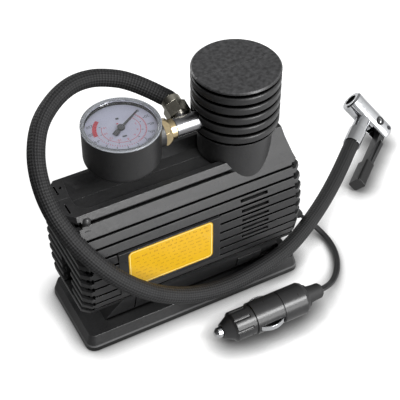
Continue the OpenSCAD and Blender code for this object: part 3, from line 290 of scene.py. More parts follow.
braid, wire, shader = new_finish("braided_cover", Specular_IOR_Level=0.3)
lay = wire.add("SeparateXYZ", {"Vector": wire.add("UVMap", uv_map="UVMap")})
around = lay * (math.pi * BRAID_STRANDS)
along = lay.also("Y") * (2 * math.pi / BRAID_PITCH)
weave = (around + along).sine() * (around - along).sine()
strand = (weave * 0.5 + 0.5).ramp(0.05, 0.95)
fuzz = noise(wire, 2600, detail=3)
worn = noise(wire, 90, detail=3)
shade = (strand * 0.6 + fuzz * 0.3 + worn * 0.3 - 0.1).clamp()
wire.plug(shader.inputs["Base Color"], shade.blend(BRAID_DARK, BRAID_LIGHT))
wire.plug(shader.inputs["Roughness"], fuzz * 0.2 + 0.5)
relief(wire, shader, strand * 0.8 + fuzz * 0.5, BRAID_DEPTH, strength=0.8)

hose_out = heading(turn=90, rise=15)
chuck_way = heading(turn=39, rise=2.5)
hose_route, hose_length = smooth_route(HOSE_ROUTE, CORD_STEP, hose_out, chuck_way)
hose = tube("braided_hose", hose_route, lambda share: ring_of(HOSE_RADIUS, HOSE_SIDES),
            hose_out, chuck_way)
hose.data.materials.append(braid)
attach(hose, "frame")
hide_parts("air_hose")


# Power lead: twin-core flexible cord, its two cores side by side. It leaves the gland's strain
# relief behind the hose, passes under the hose on the floor and turns back into the plug's tail.
CORD_ROUTE = [
    (90.8, -4.1, 20.4), (94.2, -2.1, 15.4), (98, -2.2, 11), (101.6, -4.4, 7.1),
    (104.4, -8.6, 4.1), (105.9, -14.4, 2.4), (105.9, -21, 2.2), (104.6, -28.5, 2.2),
    (101.8, -36.2, 2.2), (97.4, -43.6, 2.4), (91.6, -50.2, 3.6), (85, -55.6, 5.9),
    (78.4, -59.4, 8.9), (72.5, -61, 10.5),
]
CORD_WIDTH = 0.0042
CORE_RADIUS = 0.00118
CORE_SIDES = 12
CORE_ARC = math.pi * 1.24


def twin_section(width, core):
    """Two round cores joined by a thin web."""
    half = width / 2 - core
    turns = [CORE_ARC * (k / CORE_SIDES - 0.5) for k in range(CORE_SIDES + 1)]
    right = [(half + core * math.cos(a), core * math.sin(a)) for a in turns]
    return right + [(-x, -y) for x, y in right]


def soft_edges(wire, radius):
    """The surface's normal with its sharp edges rounded to a radius."""
    return wire.add("Bevel", {"Radius": radius}, samples=6)


def mottled(name, scale, dark, light, rough, detail=3, stretch=None, depth=None, strength=0.2,
            pits=None, edge=None, veil=None, **uniform):
    """A finish whose colour and roughness drift with one noise, from dark and rough[0] to light
    and rough[1]. A depth gives it relief from that noise, or from one at the scale of pits; edge
    is the radius that its sharp edges get; veil is a function that paints shade into the colour."""
    made, wire, shader = new_finish(name, **uniform)
    tone = noise(wire, scale, detail, stretch=stretch)
    colour = tone.blend(dark, light)
    wire.plug(shader.inputs["Base Color"], veil(wire, colour) if veil else colour)
    wire.plug(shader.inputs["Roughness"], tone * (rough[1] - rough[0]) + rough[0])
    if depth:
        height = noise(wire, pits) if pits else tone
        relief(wire, shader, height, depth, strength, soft_edges(wire, edge) if edge else None)
    return made


cord_out = Vector((0.56, 0.32, -0.76)).normalized()
tail_way = Vector((-1, 0, 0))
cord_route, cord_length = smooth_route(CORD_ROUTE, CORD_STEP, cord_out, tail_way)
lead = tube("power_lead", cord_route, lambda share: twin_section(CORD_WIDTH, CORE_RADIUS),
            cord_out, tail_way, upright=True)
jacket = mottled("cord_jacket", scale=220, dark=(0.017, 0.017, 0.018), light=(0.032, 0.032, 0.033),
                 rough=(0.3, 0.55), detail=4, depth=0.0001, strength=0.3, pits=1400,
                 Specular_IOR_Level=0.5)
lead.data.materials.append(jacket)
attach(lead, "frame")
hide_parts("power_cord")


# Cord gland: a rubber strain relief moulded on the cord, held by its flange in the right end.
# It tapers along the first stretch of the cord, bends down with it and has grooves to flex at.
RELIEF_ROUTE = [(76.7, -8, 34.5), (80, -8, 32.6), (83.7, -7.5, 29.4), (87.4, -6.1, 25.2),
                (90.8, -4.1, 20.4)]
RELIEF_STEP = 0.0004
RELIEF_SIDES = 32
RELIEF_RADIUS = 0.0040
RELIEF_TAPER = 0.0012
GROOVE_DEPTH = 0.00035
GROOVE_COUNT = 9
GROOVE_SHARE = 0.28
GROOVED_FROM, GROOVED_TO = 0.16, 0.86
FLANGE_RADIUS = 0.0044
FLANGE_THICK = 0.0016
FLANGE_ROUND = 0.0005
FLANGE_AT = (0.07525, -0.008, 0.0348)


def relief_section(share):
    grooved = GROOVED_FROM < share < GROOVED_TO and (share * GROOVE_COUNT) % 1 < GROOVE_SHARE
    radius = RELIEF_RADIUS - RELIEF_TAPER * share - (GROOVE_DEPTH if grooved else 0.0)
    return ring_of(radius, RELIEF_SIDES)


def turned(name, profile, sides=64, smooth=40):
    """A closed turned piece from radius and height points, standing on Z."""
    mesh = bmesh.new()
    rings = [[mesh.verts.new((x, y, z)) for x, y in (ring_of(r, sides) if r else [(0, 0)])]
             for r, z in profile]
    for low, high in zip(rings, rings[1:]):
        for k in range(sides):
            m = (k + 1) % sides
            corners = [low[k % len(low)], low[m % len(low)],
                       high[m % len(high)], high[k % len(high)]]
            corners = list(dict.fromkeys(corners))
            if len(corners) > 2:
                mesh.faces.new(corners)
    bmesh.ops.recalc_face_normals(mesh, faces=mesh.faces)
    made = settle(name, mesh)
    made.data.shade_smooth()
    made.data.set_sharp_from_angle(angle=math.radians(smooth))
    return made


rubber = mottled("moulded_rubber", scale=160, dark=(0.013, 0.013, 0.014), light=(0.03, 0.03, 0.03),
                 rough=(0.5, 0.7), detail=4, depth=0.0001, strength=0.35, pits=1800,
                 Specular_IOR_Level=0.4)
relief_out = Vector((0.95, 0, -0.31)).normalized()
relief_route = smooth_route(RELIEF_ROUTE, RELIEF_STEP, relief_out, cord_out)[0]
gland = tube("strain_relief", relief_route, relief_section, relief_out, cord_out)
gland_disc = turned("gland_flange", [
    (0, 0), (FLANGE_RADIUS, 0), (FLANGE_RADIUS, FLANGE_THICK - FLANGE_ROUND),
    (FLANGE_RADIUS - FLANGE_ROUND, FLANGE_THICK), (0, FLANGE_THICK)])
gland_disc.data.transform(Matrix.Translation(FLANGE_AT) @ Matrix.Rotation(math.pi / 2, 4, "Y"))
for piece in (gland, gland_disc):
    piece.data.materials.append(rubber)
    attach(piece, "frame")
    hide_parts("cord_gland")


# Chrome: the hose's ferrule, the chuck's body and cap, and the plug's tip and side contacts are
# brass or steel with bright chrome plate; where two of them meet, shade is painted into its colour.
JOINT_REACH = 0.0045
JOINT_SHADE = (0.03, 0.03, 0.032)


def openness(wire, reach, samples=8):
    """How open the surface is, from 0 where it is shut in within that reach to 1."""
    return wire.add("AmbientOcclusion", {"Distance": reach}, out="AO", samples=samples)


# Painted shade: darkens the colour where another part comes close.
def darker_joints(wire, colour):
    return openness(wire, JOINT_REACH).ramp(0.25, 0.92).blend(JOINT_SHADE, colour)


def dress(material, *names):
    """Gives CAD nodes, whose shapes are right as they are, their finish."""
    for name in names:
        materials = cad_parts[name].data.materials
        materials.clear()
        materials.append(material)


chrome = mottled("chrome_plate", scale=260, dark=(0.66, 0.67, 0.69), light=(0.76, 0.77, 0.79),
                 rough=(0.06, 0.12), depth=0.00004, strength=0.12, edge=0.0004, veil=darker_joints,
                 Metallic=1.0)
dress(chrome, "hose_ferrule", "chuck_body", "chuck_cap", "plug_tip", "plug_contact_near",
      "plug_contact_far")


# Chuck lever: a steel pressing that swings on the chuck's pin, painted satin black. The gauge's
# pointer has the same paint.
paint = mottled("satin_black_paint", scale=350, dark=(0.018, 0.018, 0.019),
                light=(0.03, 0.03, 0.031), rough=(0.32, 0.44), depth=0.00008, edge=0.0004,
                Specular_IOR_Level=0.5)
dress(paint, "chuck_lever", "gauge_pointer")


# Rivet: a plated pin with a domed head, set a little off the middle of a black painted seat that
# is turned with a raised rim and pressed into the side of the chuck's body.
RIVET_AT = (0.19534, 0.04968, 0.02166)
RIVET_FACES = Vector((0.3993, -0.5443, 0.7378))
SEAT_RADIUS = 0.0033
SEAT_RIM = 0.0006
SEAT_FLOOR = 0.0001
SEAT_DEPTH = 0.0016
DOME_RADIUS = 0.0013
DOME_RISE = 0.0007
DOME_DEPTH = 0.0004
DOME_OFF = (-0.0006, -0.0005, 0)

rivet_seat = turned("rivet_seat", [
    (0, -SEAT_DEPTH), (SEAT_RADIUS, -SEAT_DEPTH), (SEAT_RADIUS, SEAT_RIM - 0.0003),
    (SEAT_RADIUS - 0.0004, SEAT_RIM), (SEAT_RADIUS - 0.0010, SEAT_RIM),
    (SEAT_RADIUS - 0.0012, SEAT_FLOOR), (0, SEAT_FLOOR)], smooth=25)
rivet_dome = turned("rivet_dome", [
    (0, -DOME_DEPTH), (DOME_RADIUS, -DOME_DEPTH), (DOME_RADIUS - 0.0001, DOME_RISE - 0.0004),
    (DOME_RADIUS - 0.0006, DOME_RISE - 0.0001), (0, DOME_RISE)])
rivet_dome.data.transform(Matrix.Translation(DOME_OFF))
rivet_turn = RIVET_FACES.to_track_quat("Z", "Y").to_matrix().to_4x4()
for piece, material, slot in ((rivet_seat, paint, "black_paint"),
                              (rivet_dome, chrome, "chrome_plate")):
    piece.data.transform(Matrix.Translation(RIVET_AT) @ rivet_turn)
    piece.data.materials.append(material)
    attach(piece, "frame")


# Housing: two halves moulded in black plastic with a fine spark-eroded grain, parted along the
# middle and held by four screws. Painted shade darkens its crevices and sheltered places; the ribs'
# edges are painted lighter, as wear and as painted highlight; the flat crown of the tower is
# painted lighter in a mottle as painted light, is rougher, and shows the parting as a low ridge.
CROWN_FROM = cad_box[1][2] - 0.0006
CROWN_PAINTED_LIGHT = (0.085, 0.085, 0.088)
EDGE_WEAR_AND_HIGHLIGHT = (0.085, 0.085, 0.087)
FOOT_HIGHLIGHT = (0.11, 0.11, 0.112)
FOOT_HIGHLIGHT_TALL = 0.0013
FOOT_SHADE = (0.004, 0.004, 0.004)
CREVICE_SHADE = (0.001, 0.001, 0.001)
SHELTER = 0.03
FLOW_SCALE = 260
FLOW_STRETCH = (0.12, 1.0, 1.0)
SPECKLE_SCALE = 780
CROWN_MOTTLE_SCALE = 420
SEAM_FALL = 900
GRAIN_DEPTH = 0.00014


def moulding(name, grain, cloud, edge, crevices, dark=0.013, light=0.033, foot=0.0, outdoors=0.22):
    """Grained black plastic, lighter along its edges as wear and as painted highlight, with painted
    shade, dark and dull, in its crevices and sheltered places. grain and cloud are scales of noise,
    edge is the radius of its edges, crevices how far across a crevice may be, and outdoors the
    openness from which it isn't sheltered. Below a foot height it is painted in shadow, and a
    painted highlight line runs just above that."""
    made, wire, shader = new_finish(name, Specular_IOR_Level=0.5)
    grained = noise(wire, grain, detail=2)
    clouded = noise(wire, cloud, detail=3)
    flow = noise(wire, FLOW_SCALE, detail=3, stretch=FLOW_STRETCH)
    speckle = noise(wire, SPECKLE_SCALE, detail=3, roughness=0.7).ramp(0.36, 0.64)
    edges = soft_edges(wire, edge)
    flat = wire.add("NewGeometry", out="Normal")
    bent = 1 - wire.add("VectorMath", {0: edges, 1: flat}, out="Value", operation="DOT_PRODUCT")
    # Painted highlight and wear: this mask paints the edges lighter.
    edge_wear_and_highlight = bent.ramp(0.01, 0.14)
    # Painted shade: these openness masks darken crevices and places sheltered by nearby parts.
    outside = openness(wire, SHELTER).ramp(0.03, outdoors)
    open_air = openness(wire, crevices).ramp(0.36, 0.92) * outside
    place = wire.add("SeparateXYZ", {"Vector": wire.add("TexCoord", out="Object")})
    across, height = place.also("Y"), place.also("Z")
    top = height > CROWN_FROM
    seam = (1 - abs(across) * SEAM_FALL).clamp() * top
    # Painted light: the tower's crown is painted lighter, in a mottle.
    crown = top * noise(wire, CROWN_MOTTLE_SCALE, detail=4).ramp(0.2, 0.8)
    drift = clouded * 0.2 + grained * 0.2 + flow * 0.3 + speckle * 0.3
    colour = drift.blend((dark, dark, dark * 1.04), (light, light, light * 1.03))
    colour = crown.blend(colour, CROWN_PAINTED_LIGHT)
    colour = edge_wear_and_highlight.blend(colour, EDGE_WEAR_AND_HIGHLIGHT)
    if foot:
        # Painted highlight: a pale line just above the foot; painted shade below it.
        foot_highlight = (height > foot) * (height < foot + FOOT_HIGHLIGHT_TALL)
        colour = foot_highlight.blend(colour, FOOT_HIGHLIGHT)
        colour = (height < foot).blend(colour, FOOT_SHADE)
    wire.plug(shader.inputs["Base Color"], open_air.blend(CREVICE_SHADE, colour))
    matt = 0.80 - open_air * 0.58 + grained * 0.06 + flow * 0.08 + speckle * 0.12
    wire.plug(shader.inputs["Roughness"], matt - edge_wear_and_highlight * 0.06 + crown * 0.12)
    relief(wire, shader, grained * 0.6 + flow * 0.4 + seam * 5, GRAIN_DEPTH, 0.3, edges)
    # Painted shade: deep in crevices the surface turns to a flat black diffuse.
    shut = (1 - open_air).ramp(0.50, 1.0)
    painted_shade_fill = wire.add("BsdfDiffuse", {"Color": (*CREVICE_SHADE, 1.0)})
    skin = wire.add("MixShader", {0: shut, 1: Wire(wire.tree, shader.outputs[0]), 2: painted_shade_fill})
    wire.plug(wire.tree.nodes["Material Output"].inputs["Surface"], skin)
    return made


housing_plastic = moulding("housing_plastic", grain=2300, cloud=26, edge=0.0004, crevices=0.0035)
dress(housing_plastic, "front_housing", "rear_housing")


# Base: one moulding in the same plastic with a slightly coarser grain, screwed up into the
# housing from below. Up to 3 mm above the floor its colour is painted shade, with a painted
# highlight line just above. The grip is of a darker batch, moulded over the end of the chuck's
# lever.
base_plastic = moulding("base_plastic", grain=1900, cloud=22, edge=0.0005, crevices=0.003,
                        foot=0.0030, outdoors=0.09)
dress(base_plastic, "base")
grip_plastic = moulding("grip_plastic", grain=1900, cloud=22, edge=0.0005, crevices=0.003,
                        dark=0.005, light=0.014)
dress(grip_plastic, "lever_grip")


# Label: a printed yellow film on a plate set flush into the near side, with a pale line round its
# edge and rows of small print marks that spell nothing.
LABEL_LEFT, LABEL_FOOT = -0.04605, 0.0453
LABEL_WIDE, LABEL_TALL = 0.056, 0.030
LABEL_FACE = -0.0306
LABEL_ROUND = 0.003
CORNER_STEPS = 6
BORDER_FROM, BORDER_TO = 0.0007, 0.0011
PRINT_UNDER, PRINT_PROUD = -0.00005, 0.00004
PRINT_ROWS = 8
FIRST_ROW, ROW_STEP = 0.0112, 0.0031
ROW_LEFT, ROW_RIGHT = -0.0245, 0.0235
ROW_RAGGED = 0.002
FIRST_INDENT, LAST_SHORT = 0.009, 0.010
WORD_GAP = 0.0016
WORD_SHORTEST, WORD_LONGEST = 0.0009, 0.0034
MARK_STEP, MARK_WIDE, MARK_TALL = 0.0009, 0.0006, 0.0009
MARK_ROOM = 0.0008
MARK_HEIGHTS = (0.7, 0.7, 1.0)
HEADING_ROWS = 2
HEADING_TALLER = 0.0004

film = mottled("label_film", scale=120, dark=(0.76, 0.43, 0.008), light=(0.82, 0.48, 0.012),
               rough=(0.35, 0.45), Specular_IOR_Level=0.5, Coat_Weight=0.3, Coat_Roughness=0.15)
dress(film, "label_plate")


def ink(name, dark, light):
    return mottled(name, scale=1500, dark=dark, light=light, rough=(0.4, 0.55), detail=2,
                   Specular_IOR_Level=0.5)


def printed(name, shapes, figures, place, material):
    """A thin print of flat outlines and figures, lying just proud of the plane that place gives."""
    mesh = bmesh.new()
    for outer, *holes in shapes:
        rings = [[mesh.verts.new((x, y, h)) for x, y in outline]
                 for outline in (outer, *holes) for h in (PRINT_UNDER, PRINT_PROUD)]
        sides = len(outer)
        for k in range(sides):
            m = (k + 1) % sides
            mesh.faces.new((rings[0][k], rings[0][m], rings[1][m], rings[1][k]))
            if holes:
                mesh.faces.new((rings[3][k], rings[3][m], rings[2][m], rings[2][k]))
                mesh.faces.new((rings[1][k], rings[1][m], rings[3][m], rings[3][k]))
                mesh.faces.new((rings[2][k], rings[2][m], rings[0][m], rings[0][k]))
        if not holes:
            mesh.faces.new(rings[1])
            mesh.faces.new(rings[0][::-1])
    for words, size, (x, y), turn in figures:
        curve = bpy.data.curves.new("figure", "FONT")
        curve.body, curve.size, curve.extrude = words, size, PRINT_PROUD
        curve.align_x, curve.align_y = "CENTER", "CENTER"
        holder = bpy.data.objects.new("figure", curve)
        shape = bpy.data.meshes.new_from_object(holder)
        shape.transform(Matrix.Translation((x, y, 0)) @ Matrix.Rotation(turn, 4, "Z"))
        mesh.from_mesh(shape)
        bpy.data.objects.remove(holder)
        bpy.data.curves.remove(curve)
        bpy.data.meshes.remove(shape)
    mesh.transform(place)
    made = settle(name, mesh)
    made.data.materials.append(material)
    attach(made, "frame")
    return made


def rounded(width, height, radius, inset):
    """A rectangle's outline with round corners, set in from its edge."""
    w, h, r = width / 2 - inset, height / 2 - inset, radius - inset
    return [(sx * (w - r) + r * math.cos(a), sy * (h - r) + r * math.sin(a))
            for sx, sy, start in ((1, 1, 0), (-1, 1, 90), (-1, -1, 180), (1, -1, 270))
            for a in (math.radians(start + 90 / CORNER_STEPS * k) for k in range(CORNER_STEPS + 1))]


label_middle = (LABEL_LEFT + LABEL_WIDE / 2, LABEL_FACE, LABEL_FOOT + LABEL_TALL / 2)
label_place = Matrix.Translation(label_middle) @ Matrix.Rotation(math.pi / 2, 4, "X")
border = [rounded(LABEL_WIDE, LABEL_TALL, LABEL_ROUND, inset) for inset in (BORDER_FROM, BORDER_TO)]
pale_ink = ink("pale_ink", dark=(0.95, 0.80, 0.30), light=(1.0, 0.86, 0.40))
pale_line = printed("label_border", [border], [], label_place, pale_ink)
setter = random.Random(12)
marks = []
for row in range(PRINT_ROWS):
    y = FIRST_ROW - row * ROW_STEP
    x = ROW_LEFT + setter.uniform(0, ROW_RAGGED) + (FIRST_INDENT if row == 0 else 0)
    while x < ROW_RIGHT - (LAST_SHORT if row == PRINT_ROWS - 1 else 0):
        wide = setter.uniform(WORD_SHORTEST, WORD_LONGEST)
        tall = MARK_TALL + (HEADING_TALLER if row < HEADING_ROWS else 0)
        for n in range(max(1, int(wide / MARK_ROOM))):
            left = x + n * MARK_STEP
            right = left + MARK_WIDE
            top = y + tall * setter.choice(MARK_HEIGHTS)
            marks.append([[(left, y), (right, y), (right, top), (left, top)]])
        x += wide + WORD_GAP
ochre_ink = ink("ochre_ink", dark=(0.50, 0.24, 0.012), light=(0.60, 0.30, 0.015))
fine_print = printed("label_marks", marks, [], label_place, ochre_ink)


# Steel parts: screws, crank, tie bolts and the chuck's pin are blackened; the motor's can, its
# armature, the valve plate, the reed and the fuse are plated with zinc. The magnets are sintered
# ferrite, pressed and fired.
INSIDE_DARK, INSIDE_LIT = 0.05, 0.5


def enclosed(wire, colour):
    """The colour with painted shade, going black where the surface sits deep inside the housing."""
    daylight = openness(wire, SHELTER, samples=6).ramp(INSIDE_DARK, INSIDE_LIT)
    return daylight.blend(CREVICE_SHADE, colour)


dark_steel = mottled("blackened_steel", scale=500, dark=(0.05, 0.05, 0.055),
                     light=(0.12, 0.12, 0.13), rough=(0.3, 0.5), Metallic=0.8)
dress(dark_steel, "base_screws", "housing_screws", "motor_screws", "crank", "piston_screw",
      "tie_bolts", "chuck_pin")
# Painted shade: the zinc's colour goes black deep inside the housing.
zinc = mottled("zinc_plate", scale=300, dark=(0.48, 0.49, 0.5), light=(0.66, 0.67, 0.68),
               rough=(0.28, 0.48), veil=enclosed, Metallic=1.0)
dress(zinc, "motor_can", "armature", "valve_plate", "delivery_reed", "plug_fuse")
ferrite = mottled("ferrite", scale=900, dark=(0.03, 0.03, 0.032), light=(0.06, 0.06, 0.065),
                  rough=(0.5, 0.7))
dress(ferrite, "motor_magnets")


# Nylon parts: the motor's end bell and the drive gear, moulded in natural, milky nylon. The bell
# is screwed to the can and the gear turns on the crank's shaft.
# Painted shade: the nylon's colour goes black deep inside the housing.
nylon = mottled("natural_nylon", scale=240, dark=(0.70, 0.68, 0.62), light=(0.84, 0.83, 0.78),
                rough=(0.4, 0.55), veil=enclosed, Specular_IOR_Level=0.5)
dress(nylon, "motor_end_bell", "drive_gear")


# Castings: gear plate, cylinder, its head and the connecting rod, in die-cast aluminium with the
# dull, slightly pitted skin of the die.
# Painted shade: the castings' colour goes black deep inside the housing.
casting = mottled("die_casting", scale=420, dark=(0.5, 0.51, 0.52), light=(0.68, 0.69, 0.7),
                  rough=(0.35, 0.6), detail=4, depth=0.0001, strength=0.3, veil=enclosed,
                  Metallic=1.0)
dress(casting, "gear_plate", "cylinder", "cylinder_head", "piston_rod")


# Turned brass: the pinion and the crank's bush, pressed in place, and the gauge's collar, nut,
# socket, tube and movement, which are screwed and soldered together.
brass = mottled("turned_brass", scale=700, dark=(0.46, 0.36, 0.20), light=(0.62, 0.51, 0.32),
                rough=(0.16, 0.31), depth=0.00005, edge=0.0003, Metallic=1.0)
dress(brass, "pinion", "crank_bush", "gauge_collar", "gauge_nut", "gauge_socket", "bourdon_tube",
      "gauge_movement")


# Outlet: a drawn tube with a branch for the hose, brushed along its length and plated in satin
# chrome. The nut that holds the hose on the branch is smoked nickel.
satin = mottled("satin_chrome", scale=300, dark=(0.18, 0.18, 0.19), light=(0.36, 0.36, 0.37),
                rough=(0.2, 0.32), stretch=(0.08, 1.0, 1.0), depth=0.00004, edge=0.0004,
                Metallic=1.0)
dress(satin, "outlet_manifold")
smoked = mottled("smoked_nickel", scale=300, dark=(0.40, 0.38, 0.32), light=(0.62, 0.59, 0.50),
                 rough=(0.2, 0.32), depth=0.00005, edge=0.0004, Metallic=1.0)
dress(smoked, "hose_nut")


# Soft parts: the piston's cup, the chuck's bush and the plug's tail are moulded in black rubber,
# and the washer behind the gauge's collar is stamped from pressed fibre.
dress(rubber, "piston_cup", "chuck_seal", "plug_tail")
fibre = mottled("pressed_fibre", scale=900, dark=(0.10, 0.045, 0.02), light=(0.2, 0.09, 0.04),
                rough=(0.6, 0.8))
dress(fibre, "sealing_washer")


# Plug: barrel and nose moulded in glossy black plastic and screwed together, with the fuse, the
# sprung tip and the two side contacts held between them.
gloss = mottled("gloss_plastic", scale=140, dark=(0.022, 0.022, 0.023), light=(0.034, 0.034, 0.035),
                rough=(0.24, 0.34), depth=0.00008, pits=900, edge=0.0004, Specular_IOR_Level=0.5)
dress(gloss, "plug_body", "plug_nose")


# Gauge: a pale printed dial in a black moulded case, under a clear lens whose raised rim caps the
# case's wall. The dial's two scales run clockwise from the pointer's rest; its prints are given in
# millimetres and degrees.
GAUGE_AT = (-0.0328, 0, 0.129)
GAUGE_TILT = math.radians(2)
DIAL_TOP = 0.01225
SCALE_START = 33
SCALE_SWEEP = 245
SCALE_END = SCALE_START - SCALE_SWEEP
HALF_RADIAN = 28.6
ARC_STEP = 3
gauge_place = Matrix.Translation(GAUGE_AT) @ Matrix.Rotation(GAUGE_TILT, 4, "X")
dial_place = gauge_place @ Matrix.Translation((0, 0, DIAL_TOP))

dial_print = mottled("dial_print", scale=200, dark=(0.46, 0.46, 0.56), light=(0.52, 0.52, 0.62),
                     rough=(0.45, 0.55), Specular_IOR_Level=0.4)
dress(dial_print, "gauge_dial")
# The case carries the same painted shade and lighter edges as the housing.
case_plastic = moulding("case_plastic", grain=2600, cloud=30, edge=0.0005, crevices=0.002,
                        dark=0.012, light=0.024)
dress(case_plastic, "gauge_case")


def arc(inner, outer, start, end):
    """A band between two radii, from one angle to another."""
    steps = max(2, round(abs(end - start) / ARC_STEP))
    turns = [math.radians(start + (end - start) * k / steps) for k in range(steps + 1)]
    return [[(r / 1000 * math.cos(a), r / 1000 * math.sin(a))
             for r, way in ((outer, turns), (inner, turns[::-1])) for a in way]]


def ticks(inner, outer, wide, count):
    """Short marks across a scale, evenly spaced over its sweep."""
    half = wide / inner * HALF_RADIAN
    return [arc(inner, outer, a - half, a + half)
            for a in (SCALE_START - SCALE_SWEEP * k / count for k in range(count + 1))]


def numbers(radius, size, values):
    """A scale's numbers on a circle, all upright for a reader behind the gauge."""
    turns = [math.radians(SCALE_START - SCALE_SWEEP * k / (len(values) - 1))
             for k in range(len(values))]
    return [(str(v), size, (radius / 1000 * math.cos(a), radius / 1000 * math.sin(a)), math.pi)
            for v, a in zip(values, turns)]


black_ink = ink("black_ink", dark=(0.02, 0.02, 0.025), light=(0.04, 0.04, 0.05))
red_ink = ink("red_ink", dark=(0.52, 0.03, 0.05), light=(0.62, 0.06, 0.08))
outer_ticks = ticks(15.0, 16.3, wide=0.45, count=11)
inner_ticks = ticks(11.6, 12.5, wide=0.4, count=8)
fine_ticks = ticks(13.6, 14.5, wide=0.3, count=44)
unit_dashes = [arc(8.2, 9.6, 74, 86), arc(5.8, 7.0, -108, -84)]
red_zone = arc(13.8, 16.2, 129, 179)
outer_line = arc(14.2, 14.5, SCALE_START, -70)
inner_line = arc(10.9, 11.2, SCALE_START, SCALE_END)
red_dash = arc(4.4, 5.3, 84, 98)
black_print = printed("dial_black_print", [*outer_ticks, *inner_ticks, *unit_dashes],
                      numbers(17.8, 0.0029, range(0, 240, 20)), dial_place, black_ink)
red_print = printed("dial_red_print", [red_zone, outer_line, inner_line, red_dash, *fine_ticks],
                    numbers(9.2, 0.0022, range(0, 17, 2)), dial_place, red_ink)

LENS_RADIUS = 0.0230
LENS_TOP = 0.0171
LENS_LAP = 0.01605
LENS_SIDES = 128
WINDOW_RADIUS = 0.0206
WINDOW_TOP = 0.0166
WINDOW_UNDER = 0.0149
WINDOW_LIP = 0.0012
WINDOW_LIP_DROP = 0.0003
window = turned("lens_window", [
    (0, WINDOW_UNDER), (WINDOW_RADIUS - WINDOW_LIP, WINDOW_UNDER),
    (WINDOW_RADIUS - WINDOW_LIP, WINDOW_UNDER - WINDOW_LIP_DROP),
    (WINDOW_RADIUS, WINDOW_UNDER - WINDOW_LIP_DROP), (WINDOW_RADIUS, WINDOW_TOP),
    (0, WINDOW_TOP)], sides=LENS_SIDES)
rim = turned("lens_rim", [
    (WINDOW_RADIUS, LENS_LAP), (LENS_RADIUS, LENS_LAP), (LENS_RADIUS, LENS_TOP - 0.0005),
    (LENS_RADIUS - 0.0002, LENS_TOP - 0.0002), (LENS_RADIUS - 0.0006, LENS_TOP),
    (LENS_RADIUS - 0.0013, LENS_TOP), (LENS_RADIUS - 0.0018, LENS_TOP - 0.0003),
    (WINDOW_RADIUS, WINDOW_TOP), (WINDOW_RADIUS, LENS_LAP)], sides=LENS_SIDES)
clear = mottled("clear_lens", scale=120, dark=(0.95, 0.97, 1.0), light=(0.98, 0.99, 1.0),
                rough=(0.01, 0.05), detail=2, IOR=1.49, Transmission_Weight=1.0)
rim_plastic = mottled("lens_rim_plastic", scale=160, dark=(0.50, 0.52, 0.56),
                      light=(0.62, 0.64, 0.68), rough=(0.14, 0.24), detail=2, IOR=1.49,
                      Transmission_Weight=0.7, Specular_IOR_Level=0.6)
for piece, material in ((window, clear), (rim, rim_plastic)):
    piece.data.transform(gauge_place)
    piece.data.materials.append(material)
    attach(piece, "frame")
    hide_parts("gauge_lens")


# Studio: a white paper floor and surround, lit by a soft lamp at the front right, a low one that
# gives the steep sides their sheen, and a weak one behind. Only the camera sees the paper glow, and
# a painted contact shadow darkens paper and glow near the object; gloss sees it darker on the left
# and to the rear, as if black card stood there.
WHITE = (1.0, 1.0, 1.0, 1.0)
FLOOR_HALF = 3.0
FLOOR_DROP = -0.0002
FLOOR_GLOW = 0.92
GLOSSY_GLOW = 0.25
CARD_SLOPE = 3.4
CARD_LEVEL = 0.72
CONTACT_REACH = 0.015
CONTACT_FALL = 3.0
PAPER_SHADED, PAPER_OPEN = (0.10, 0.10, 0.10), (0.42, 0.42, 0.42)
BOUNCE_LEFT, BOUNCE_RIGHT = (0.10, 0.10, 0.10), (0.55, 0.55, 0.55)
ROOM_LEVEL = 0.30
ROOM_RIGHT, ROOM_BACK, ROOM_UP = 0.20, -0.06, -0.04
FRONT_LEVEL, FRONT_LEAST = 0.62, 0.25
RIGHT_SLOPE, RIGHT_LEVEL, RIGHT_LEAST = 0.9, 0.72, 0.12

floor_mesh = bmesh.new()
bmesh.ops.create_grid(floor_mesh, x_segments=1, y_segments=1, size=FLOOR_HALF)
floor = settle("floor", floor_mesh)
floor.location.z = FLOOR_DROP
paper = bpy.data.materials.new("paper")
paper.use_nodes = True
paper.node_tree.nodes.clear()
wire = Wire(paper.node_tree)
ray = wire.add("LightPath", out="Is Camera Ray")
direct = ray.most(ray.also("Is Transmission Ray"))
across_floor = wire.add("SeparateXYZ", {"Vector": wire.add("TexCoord", out="Object")}, out="X")
beyond_card = (across_floor * CARD_SLOPE + CARD_LEVEL).clamp()
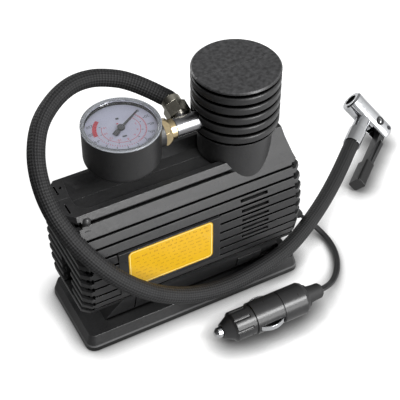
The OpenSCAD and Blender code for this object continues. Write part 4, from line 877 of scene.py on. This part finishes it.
# Painted shadow: the paper's colour and glow darken close to the object.
contact = openness(wire, CONTACT_REACH, samples=16) ** CONTACT_FALL
bounce = beyond_card.blend(BOUNCE_LEFT, BOUNCE_RIGHT)
paper_tone = direct.blend(bounce, contact.blend(PAPER_SHADED, PAPER_OPEN))
strength = direct * contact * FLOOR_GLOW + ray.also("Is Glossy Ray") * beyond_card * GLOSSY_GLOW
lit = wire.add("BsdfDiffuse", {"Color": paper_tone})
glow = wire.add("Emission", {"Color": WHITE, "Strength": strength})
wire.add("OutputMaterial", {"Surface": wire.add("AddShader", {0: lit, 1: glow})})
floor.data.materials.append(paper)

surround = bpy.data.worlds.new("surround")
surround.use_nodes = True
bpy.context.scene.world = surround
surround.node_tree.nodes.clear()
wire = Wire(surround.node_tree)
ray = wire.add("LightPath", out="Is Camera Ray")
direct = ray.most(ray.also("Is Transmission Ray"))
glossy = ray.also("Is Glossy Ray")
right = wire.add("SeparateXYZ", {"Vector": wire.add("TexCoord", out="Generated")})
back, up = right.also("Y"), right.also("Z")
room = (right * ROOM_RIGHT + back * ROOM_BACK + up * ROOM_UP + ROOM_LEVEL).clamp()
in_front = (FRONT_LEVEL - back * FRONT_LEVEL).clamp().most(FRONT_LEAST)
on_right = (right * RIGHT_SLOPE + RIGHT_LEVEL).clamp().most(RIGHT_LEAST)
strength = direct + (1 - direct) * (glossy * in_front * on_right + (1 - glossy) * room)
sky = wire.add("Background", {"Color": WHITE, "Strength": strength})
wire.add("OutputWorld", {"Surface": sky})


def softbox(name, place, aim, width, height, power):
    lamp = bpy.data.lights.new(name, "AREA")
    lamp.shape = "RECTANGLE"
    lamp.size, lamp.size_y = width, height
    lamp.energy = power
    stand(link(name, lamp), place, aim)


softbox("front_softbox", place=(0.84, -1.66, 1.53), aim=(0, 0, 0.05),
        width=0.9, height=0.7, power=42)
softbox("low_strip", place=(0.62, -2.45, 0.56), aim=(0, 0, 0.10),
        width=1.2, height=1.2, power=28)
softbox("rear_fill", place=(-0.70, 2.30, 0.85), aim=(0, 0, 0.05),
        width=1.4, height=0.8, power=26)
